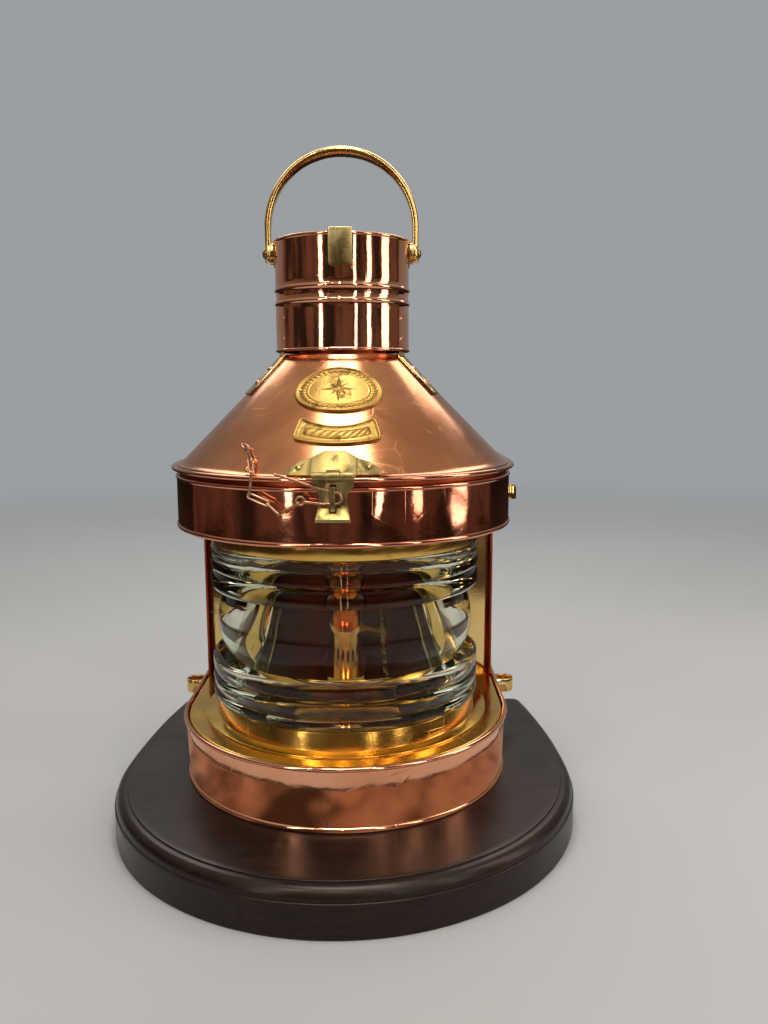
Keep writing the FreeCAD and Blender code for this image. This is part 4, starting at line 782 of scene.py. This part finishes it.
def oval_relief():
    """Grid of rings from the middle out, closed by an edge and an underside."""
    half_w, half_h = 38.0 * MM, 26.2 * MM
    centre_r = 88.1 * MM
    turns, rows = 320, 56
    vertices = [hood_point(0, 0, PLATE + oval_height(0, 0, 0, 0), centre_r)]
    for i in range(1, rows + 1):
        rho = (i / rows) ** 0.8
        for j in range(turns):
            theta = 2 * math.pi * j / turns
            u, v = half_w * rho * math.cos(theta), half_h * rho * math.sin(theta)
            fall = 0.7 * MM * smooth(rho, 0.985, 1.0)
            lift = PLATE + oval_height(u, v, rho, theta) - fall
            vertices.append(hood_point(u, v, lift, centre_r))
    under = len(vertices)
    for j in range(turns):
        theta = 2 * math.pi * j / turns
        vertices.append(hood_point(half_w * math.cos(theta), half_h * math.sin(theta), UNDERSIDE, centre_r))
    faces = [(0, 1 + j, 1 + (j + 1) % turns) for j in range(turns)]
    for i in range(rows):
        a, b = 1 + i * turns, 1 + (i + 1) * turns
        faces += [(a + j, b + j, b + (j + 1) % turns, a + (j + 1) % turns) for j in range(turns)]
    vertices.append(hood_point(0, 0, UNDERSIDE, centre_r))
    last = len(vertices) - 1
    faces += [(last, under + (j + 1) % turns, under + j) for j in range(turns)]
    obj = mesh_object("oval_relief", vertices, faces)
    return finish_mesh(obj, plate_brass, "hood", ["oval_plate"], sharp=60)


def label_height(s, t, width, long_half):
    """Relief of the arched plate: a raised border round a twisted rope."""
    rope_half, strand, slope = 4.6 * MM, 6.6 * MM, 3.4 * MM
    edge = min(t, width - t, long_half - abs(s))
    border = 0.9 * ridge(edge, 1.1 * MM, 1.2 * MM)
    inner = 0.3 * ridge(edge, 3.4 * MM, 0.5 * MM)
    across = (t - width / 2) / rope_half
    rope = 0.0
    reach = long_half - 7 * MM
    if abs(across) < 1 and abs(s) < reach:
        twist = abs(math.sin(math.pi * (s - across * slope) / strand))
        fade = smooth(reach - abs(s), 0.0, 3 * MM)
        rope = 1.15 * math.sqrt(1 - across * across) * (0.35 + 0.65 * twist ** 0.6) * fade
    return (border + inner + rope) * MM


def arc_rise(radius, half):
    """How far a place on an arc stands over its middle."""
    return radius - math.sqrt(radius * radius - half * half)


def label_relief():
    """Bar whose foot and top are arcs and whose corners are round, closed by an edge and an underside."""
    foot_r, middle_height = 132.1 * MM, 20.3 * MM
    foot_arc, top_arc = 80.0 * MM, 43.4 * MM
    foot_half, top_half = 37.6 * MM, 31.5 * MM
    round_corner, eased = 5.0 * MM, 0.5 * MM
    rows, columns = 64, 260

    def spot(i, j, underside=False):
        t = i / rows
        wide = foot_half + (top_half - foot_half) * t
        d = min(t, 1 - t) * (middle_height + 4 * MM)
        if d < round_corner:
            wide -= round_corner - math.sqrt(max(round_corner ** 2 - (round_corner - d) ** 2, 0.0))
        x = wide * (2 * j / columns - 1)
        low = arc_rise(foot_arc, x)
        tall = middle_height + arc_rise(top_arc, x) - low
        lift = UNDERSIDE
        if not underside:
            edge = min(tall * t, tall * (1 - t), wide - abs(x))
            lift = PLATE + label_height(x, tall * t, tall, wide) - eased * (1 - smooth(edge, 0, eased))
        return hood_point(x, low + tall * t, lift, foot_r)

    vertices = [spot(i, j) for i in range(rows + 1) for j in range(columns + 1)]
    stride = columns + 1
    faces = []
    for i in range(rows):
        faces += [(i * stride + j, i * stride + j + 1, (i + 1) * stride + j + 1, (i + 1) * stride + j)
                  for j in range(columns)]
    border = [(0, j) for j in range(columns)] + [(i, columns) for i in range(rows)]
    border += [(rows, j) for j in range(columns, 0, -1)] + [(i, 0) for i in range(rows, 0, -1)]
    under = len(vertices)
    vertices += [spot(i, j, True) for i, j in border]
    n = len(border)
    top = [i * stride + j for i, j in border]
    faces += [(top[k], under + k, under + (k + 1) % n, top[(k + 1) % n]) for k in range(n)]
    faces.append(tuple(under + k for k in range(n)))
    obj = mesh_object("label_relief", vertices, faces)
    return finish_mesh(obj, plate_brass, "hood", ["curved_plate"], sharp=60)


# ---------------------------------------------------------------- CAD pieces with eased edges
EASED = [                                  # node, bevel in mm, material, slot
    ("lens_seat_ring", 0.35, tray_brass, "aged_brass"),
    ("lens_top_ring", 0.35, tray_brass, "aged_brass"),
    ("side_plate_left", 0.35, brass, "polished_brass"),
    ("side_plate_right", 0.35, brass, "polished_brass"),
    ("lens_clamps", 0.3, aged_brass, "aged_brass"),
    *(("guide_loop_" + place, 0.6, brass, "aged_brass")
      for place in ("lower_left", "lower_right", "upper_left", "upper_right")),
    ("hood_back_panel", 0.35, copper, "copper"),
    ("rim_clip", 0.4, aged_brass, "aged_brass"),
    ("chimney_bracket_left", 0.4, brass, "aged_brass"),
    ("chimney_bracket_right", 0.4, brass, "aged_brass"),
    ("bail_lugs", 0.5, aged_brass, "aged_brass"),
    ("bail_pivot_bolts", 0.5, aged_brass, "aged_brass"),
    ("hasp_leaf", 0.35, hasp_brass, "aged_brass"),
    ("hasp_strap", 0.4, hasp_brass, "aged_brass"),
    ("hasp_staple", 0.4, aged_brass, "aged_brass"),
    ("hasp_hinge_pin", 0.3, aged_brass, "aged_brass"),
]


def eased_fittings():
    for node, bevel, material, slot in EASED:
        refined(node, node + "_eased", bevel * MM, material)


def rear_housing():
    """Copper outside; the inside is dull from lamp smoke."""
    obj = refined("rear_housing", "rear_housing_eased", 0.4 * MM, copper)
    obj.data.materials.append(dull_copper)
    for face in obj.data.polygons:
        if face.normal.x * face.center.x + face.normal.y * face.center.y < 0:
            face.material_index = 1


# ---------------------------------------------------------------- lamp glass and solder
def chimney_glass():
    """The lamp's glass: a foot, a bulge round the flame and a straight neck with a round rim."""
    low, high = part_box("lamp_chimney")
    z0, bulge, height, wall = low.z, 5.4 * MM, 68 * MM, 1.5 * MM
    r0 = high.x - bulge
    outer = [(r0, z0), (r0, z0 + 1.5 * MM)]
    for i in range(41):
        outer.append((r0 + bulge * math.sin(math.pi * i / 40) ** 2, z0 + 3 * MM + height * i / 40))
    outer += rise(outer[-1], (r0, high.z - 0.8 * MM), 8)
    rim = bead(r0 - wall / 2, high.z - wall / 2, wall / 2, 0, 180, 8)
    inner = [(r - wall, z) for r, z in reversed(outer)]
    obj = skin("chimney_glass", round_rings(outer + rim + inner, 72))
    wobble(obj, 0.08 * MM, 20 * MM, 10)
    finish_mesh(obj, amber_glass, "lamp", ["lamp_chimney"], sharp=50)


def solder_run():
    """Run of solder down the cone, below the chain's ring."""
    rings = []
    for i in range(17):
        t = i / 16
        r = (140.5 + 11.5 * t) * MM
        a = math.radians(-29.6 + 1.6 * t + 1.3 * math.sin(5 * t))
        out = Vector((math.sin(a) * normal_r, -math.cos(a) * normal_r, normal_z))
        across = Vector((math.cos(a), math.sin(a), 0))
        centre = Vector((r * math.sin(a), -r * math.cos(a), cone_z(r))) + out * 0.25 * MM
        fat = (1.0 + 0.9 * math.sin(math.pi * t) + 0.5 * noise.noise(Vector((9 * t, 0, 0)))) * MM
        rings.append([centre + across * fat * math.cos(b) + out * 0.75 * fat * math.sin(b)
                      for b in (2 * math.pi * j / 16 for j in range(16))])
    obj = skin("solder_run", rings, loop=False)
    wobble(obj, 0.3 * MM, 3 * MM, 11)
    finish_mesh(obj, solder_metal, "hood", [], sharp=60)


# ---------------------------------------------------------------- CAD pieces shown as they are
# those inside the lantern whose material differs from their slot's usual one
INSIDE = {"hood_skirt": dull_copper, "flue_tube": dull_copper, "draught_baffle": dull_copper,
          "lamp_platform": tray_brass, "burner": lamp_brass, "lamp_font": lamp_brass}


def dress_frame():
    """Materials for the CAD pieces that are shown as they are."""
    by_slot = {"copper": copper, "polished_brass": brass, "aged_brass": aged_brass, "wire": wire_metal,
               "tinned_sheet": tinned, "lens_glass": glass, "painted_wood": wood, "dark_screws": steel,
               "gasket": gasket, "wick": cotton}
    slots = {part["node"]: part["material_slot"] for part in frame["record"]["subparts"]}
    for name, obj in frame["nodes"].items():
        obj.data.materials.clear()
        obj.data.materials.append(INSIDE.get(name) or by_slot[slots[name]])


# ---------------------------------------------------------------- floor and light
WALL_GREY = (0.33, 0.345, 0.355)


def make_floor():
    """Pale table; the camera sees it fade into the wall, and reflections see it end."""
    work = bmesh.new()
    bmesh.ops.create_grid(work, x_segments=8, y_segments=8, size=9.0)
    mesh = bpy.data.meshes.new("floor")
    work.to_mesh(mesh)
    work.free()
    obj = bpy.data.objects.new("floor", mesh)
    scene.collection.objects.link(obj)
    g = Graph("floor_sheet")
    away = g.tree.nodes.new("ShaderNodeVectorMath")
    away.operation = "LENGTH"
    g.link(g.place, away.inputs[0])
    path = g.tree.nodes.new("ShaderNodeLightPath")
    seen = path.outputs["Is Camera Ray"]
    far = g.remap(away.outputs["Value"], 0.7, 3.2)
    table_edge = g.remap(away.outputs["Value"], 0.72, 0.86)
    sheet = g.mix(g.noise(1.6, 2), (0.34, 0.35, 0.355), (0.40, 0.41, 0.415))
    faded = g.mix(far, sheet, (0.0, 0.0, 0.0))
    mirrored = g.mix(table_edge, faded, (0.03, 0.022, 0.018))
    mesh.materials.append(g.set(Base_Color=g.mix(seen, mirrored, faded),
                                Roughness=0.6, Specular_IOR_Level=0.0,
                                Emission_Color=(*WALL_GREY, 1.0),
                                Emission_Strength=g.math("MULTIPLY", far, seen)))


def make_world():
    """Pale grey for the camera; a dark room in front and a grey wall behind for everything else.

    What is seen through the glass is a paler room of its own.
    """
    world = bpy.data.worlds.new("studio")
    scene.world = world
    world.use_nodes = True
    tree = world.node_tree
    tree.nodes.clear()

    def node(kind, **values):
        made = tree.nodes.new(kind)
        for name, value in values.items():
            made.inputs[name].default_value = value
        return made

    place = node("ShaderNodeTexCoord")
    split = node("ShaderNodeSeparateXYZ")
    tree.links.new(place.outputs["Generated"], split.inputs[0])
    turned = node("ShaderNodeMapRange", **{"From Min": -1.0})
    tree.links.new(split.outputs["Y"], turned.inputs["Value"])

    def front_to_back(middle, *colours):
        made = tree.nodes.new("ShaderNodeValToRGB")
        tree.links.new(turned.outputs[0], made.inputs[0])
        made.color_ramp.elements.new(middle)
        for stop, position, colour in zip(made.color_ramp.elements, (0.0, middle, 1.0), colours):
            stop.position = position
            stop.color = (*colour, 1.0)
        return made

    ramp = front_to_back(0.5, (0.050, 0.036, 0.030), (0.15, 0.12, 0.10), (0.25, 0.25, 0.25))
    pale = front_to_back(0.38, (0.045, 0.035, 0.028), (0.36, 0.38, 0.30), (0.44, 0.46, 0.38))
    upwards = node("ShaderNodeMapRange", **{"From Min": 0.35, "From Max": 0.85})
    tree.links.new(split.outputs["Z"], upwards.inputs["Value"])
    sky = tree.nodes.new("ShaderNodeMix")
    sky.data_type = "RGBA"
    sky.inputs["B"].default_value = (0.46, 0.43, 0.40, 1)
    tree.links.new(upwards.outputs[0], sky.inputs["Factor"])
    tree.links.new(ramp.outputs[0], sky.inputs["A"])
    room = node("ShaderNodeBackground", Strength=1.0)
    tree.links.new(sky.outputs["Result"], room.inputs["Color"])
    wall = node("ShaderNodeBackground", Color=(*WALL_GREY, 1.0), Strength=1.0)
    path = node("ShaderNodeLightPath")
    through = node("ShaderNodeBackground", Strength=1.0)
    tree.links.new(pale.outputs[0], through.inputs["Color"])
    shaders = room
    for ray, shader in (("Is Transmission Ray", through), ("Is Camera Ray", wall)):
        mix = tree.nodes.new("ShaderNodeMixShader")
        tree.links.new(path.outputs[ray], mix.inputs[0])
        tree.links.new(shaders.outputs[0], mix.inputs[1])
        tree.links.new(shader.outputs[0], mix.inputs[2])
        shaders = mix
    out = tree.nodes.new("ShaderNodeOutputWorld")
    tree.links.new(shaders.outputs[0], out.inputs[0])


def area_light(name, place, size, watts, colour=(1, 1, 1), target=(0, 0, 0.33)):
    data = bpy.data.lights.new(name, "AREA")
    data.shape = "RECTANGLE"
    data.size, data.size_y = size
    data.energy = watts
    data.color = colour
    obj = bpy.data.objects.new(name, data)
    scene.collection.objects.link(obj)
    obj.location = place
    obj.rotation_euler = (Vector(target) - Vector(place)).to_track_quat("-Z", "Y").to_euler()
    obj.visible_camera = False
    return obj


def link_lights(lights, names, state):
    """Light linking: these lights shine only on the named objects, or on all but them."""
    named = bpy.data.collections.new("linked")
    for name in names:
        named.objects.link(bpy.data.objects[name])
    for member in named.collection_objects:
        member.light_linking.link_state = state
    for light in lights:
        light.light_linking.receiver_collection = named


def around(azimuth, distance, z):
    """Place at an azimuth in degrees from the front, towards +X."""
    a = math.radians(azimuth)
    return (distance * math.sin(a), -distance * math.cos(a), z)


def make_lights():
    """Lights of the room and two small glints inside the lens; gives back the windows and the glints."""
    daylight, bulb = (1.0, 0.90, 0.86), (1.0, 0.86, 0.66)
    windows = [
        area_light("window_left", around(-33, 1.5, 0.9), (0.16, 1.7), 4.5, daylight),
        area_light("window_right", around(24, 1.5, 0.9), (0.10, 1.7), 3.2, daylight),
        area_light("window_far", around(48, 1.5, 0.9), (0.20, 1.7), 4.5, daylight),
        area_light("side_right", around(80, 1.5, 0.8), (0.4, 1.5), 7, (1.0, 0.88, 0.85)),
    ]
    area_light("ceiling", (0.0, -0.25, 2.2), (0.75, 0.75), 22, (1.0, 0.98, 0.96))
    area_light("lamp_a", (-0.75, -1.2, 2.3), (0.08, 0.08), 5, bulb)
    area_light("lamp_b", (0.6, -1.0, 2.4), (0.08, 0.08), 5, bulb)
    area_light("lamp_c", (-0.1, -1.7, 2.3), (0.08, 0.08), 5, bulb)
    area_light("wall_glow", (0.0, 1.6, 1.9), (3.0, 1.0), 26, (1.0, 0.99, 0.98), (0, 0, 0.2))
    focus = (0, 0, 0.22)
    glints = [
        area_light("glint_left", (-0.03, -0.085, 0.22), (0.006, 0.13), 0.12, (1.0, 0.50, 0.20), focus),
        area_light("glint_right", (0.022, -0.085, 0.22), (0.004, 0.13), 0.10, (1.0, 0.62, 0.32), focus),
    ]
    for glint in glints:
        glint.visible_transmission = False
    return windows, glints


def make_screen():
    """Dark curved screen behind the camera, seen only in the polished metal."""
    radius, height, steps = 1.9, 0.95, 48
    spread = 230                           # degrees round the front
    vertices = []
    for i in range(steps + 1):
        x, y, _ = around(spread * i / steps - spread / 2, radius, 0)
        vertices += [Vector((x, y, 0.001)), Vector((x, y, height))]
    faces = [(2 * i, 2 * i + 2, 2 * i + 3, 2 * i + 1) for i in range(steps)]
    obj = mesh_object("screen", vertices, faces)
    g = Graph("screen_cloth")
    shade = g.mix(g.remap(g.noise(1.9, 3), 0.38, 0.60), (0.014, 0.009, 0.007), (0.17, 0.105, 0.085))
    obj.data.materials.append(g.set(Base_Color=shade, Roughness=0.9))
    obj.visible_camera = False
    obj.visible_transmission = False


def make_painted_reflection_card():
    """Warm glowing card over the plinth, seen only by the polished metal that looks down on it: a painted
    reflection of warm wood in the copper.
    """
    z = plinth_high.z + 0.4 * MM
    inset = 15 * MM
    rim = [Vector((x - nx * inset, y - ny * inset, z)) for x, y, nx, ny in plinth_outline()]
    obj = mesh_object("card", rim, [tuple(range(len(rim)))])
    g = Graph("painted_reflection_glow")
    # painted reflection: a mottled warm brown glow that no lamp casts, for the copper to mirror
    shade = g.mix(g.remap(g.noise(11, 2), 0.36, 0.64), (0.05, 0.030, 0.020), (0.34, 0.22, 0.15))
    light = g.tree.nodes.new("ShaderNodeEmission")
    g.link(shade, light.inputs["Color"])
    clear = g.tree.nodes.new("ShaderNodeBsdfTransparent")
    side = g.tree.nodes.new("ShaderNodeNewGeometry")
    one_sided = g.tree.nodes.new("ShaderNodeMixShader")
    g.link(side.outputs["Backfacing"], one_sided.inputs[0])
    g.link(clear.outputs[0], one_sided.inputs[1])
    g.link(light.outputs[0], one_sided.inputs[2])
    g.link(one_sided.outputs[0], g.out.inputs["Surface"])
    obj.data.materials.append(g.material)
    obj.visible_camera = False
    obj.visible_diffuse = False
    obj.visible_transmission = False
    obj.visible_shadow = False


# ---------------------------------------------------------------- make everything
make_camera()
make_floor()
make_world()
windows, glints = make_lights()
make_screen()
make_painted_reflection_card()
dress_frame()
for make_piece in (base_drum, band_shell, brim, cone, stack, tray_dish, lens_glass, plinth, handle,
                   oval_relief, label_relief, eased_fittings, rear_housing, chimney_glass, solder_run):
    make_piece()
link_lights(windows, ["lens_glass"], "EXCLUDE")
link_lights(glints, [frame["nodes"]["burner"].name, "chimney_glass"], "INCLUDE")
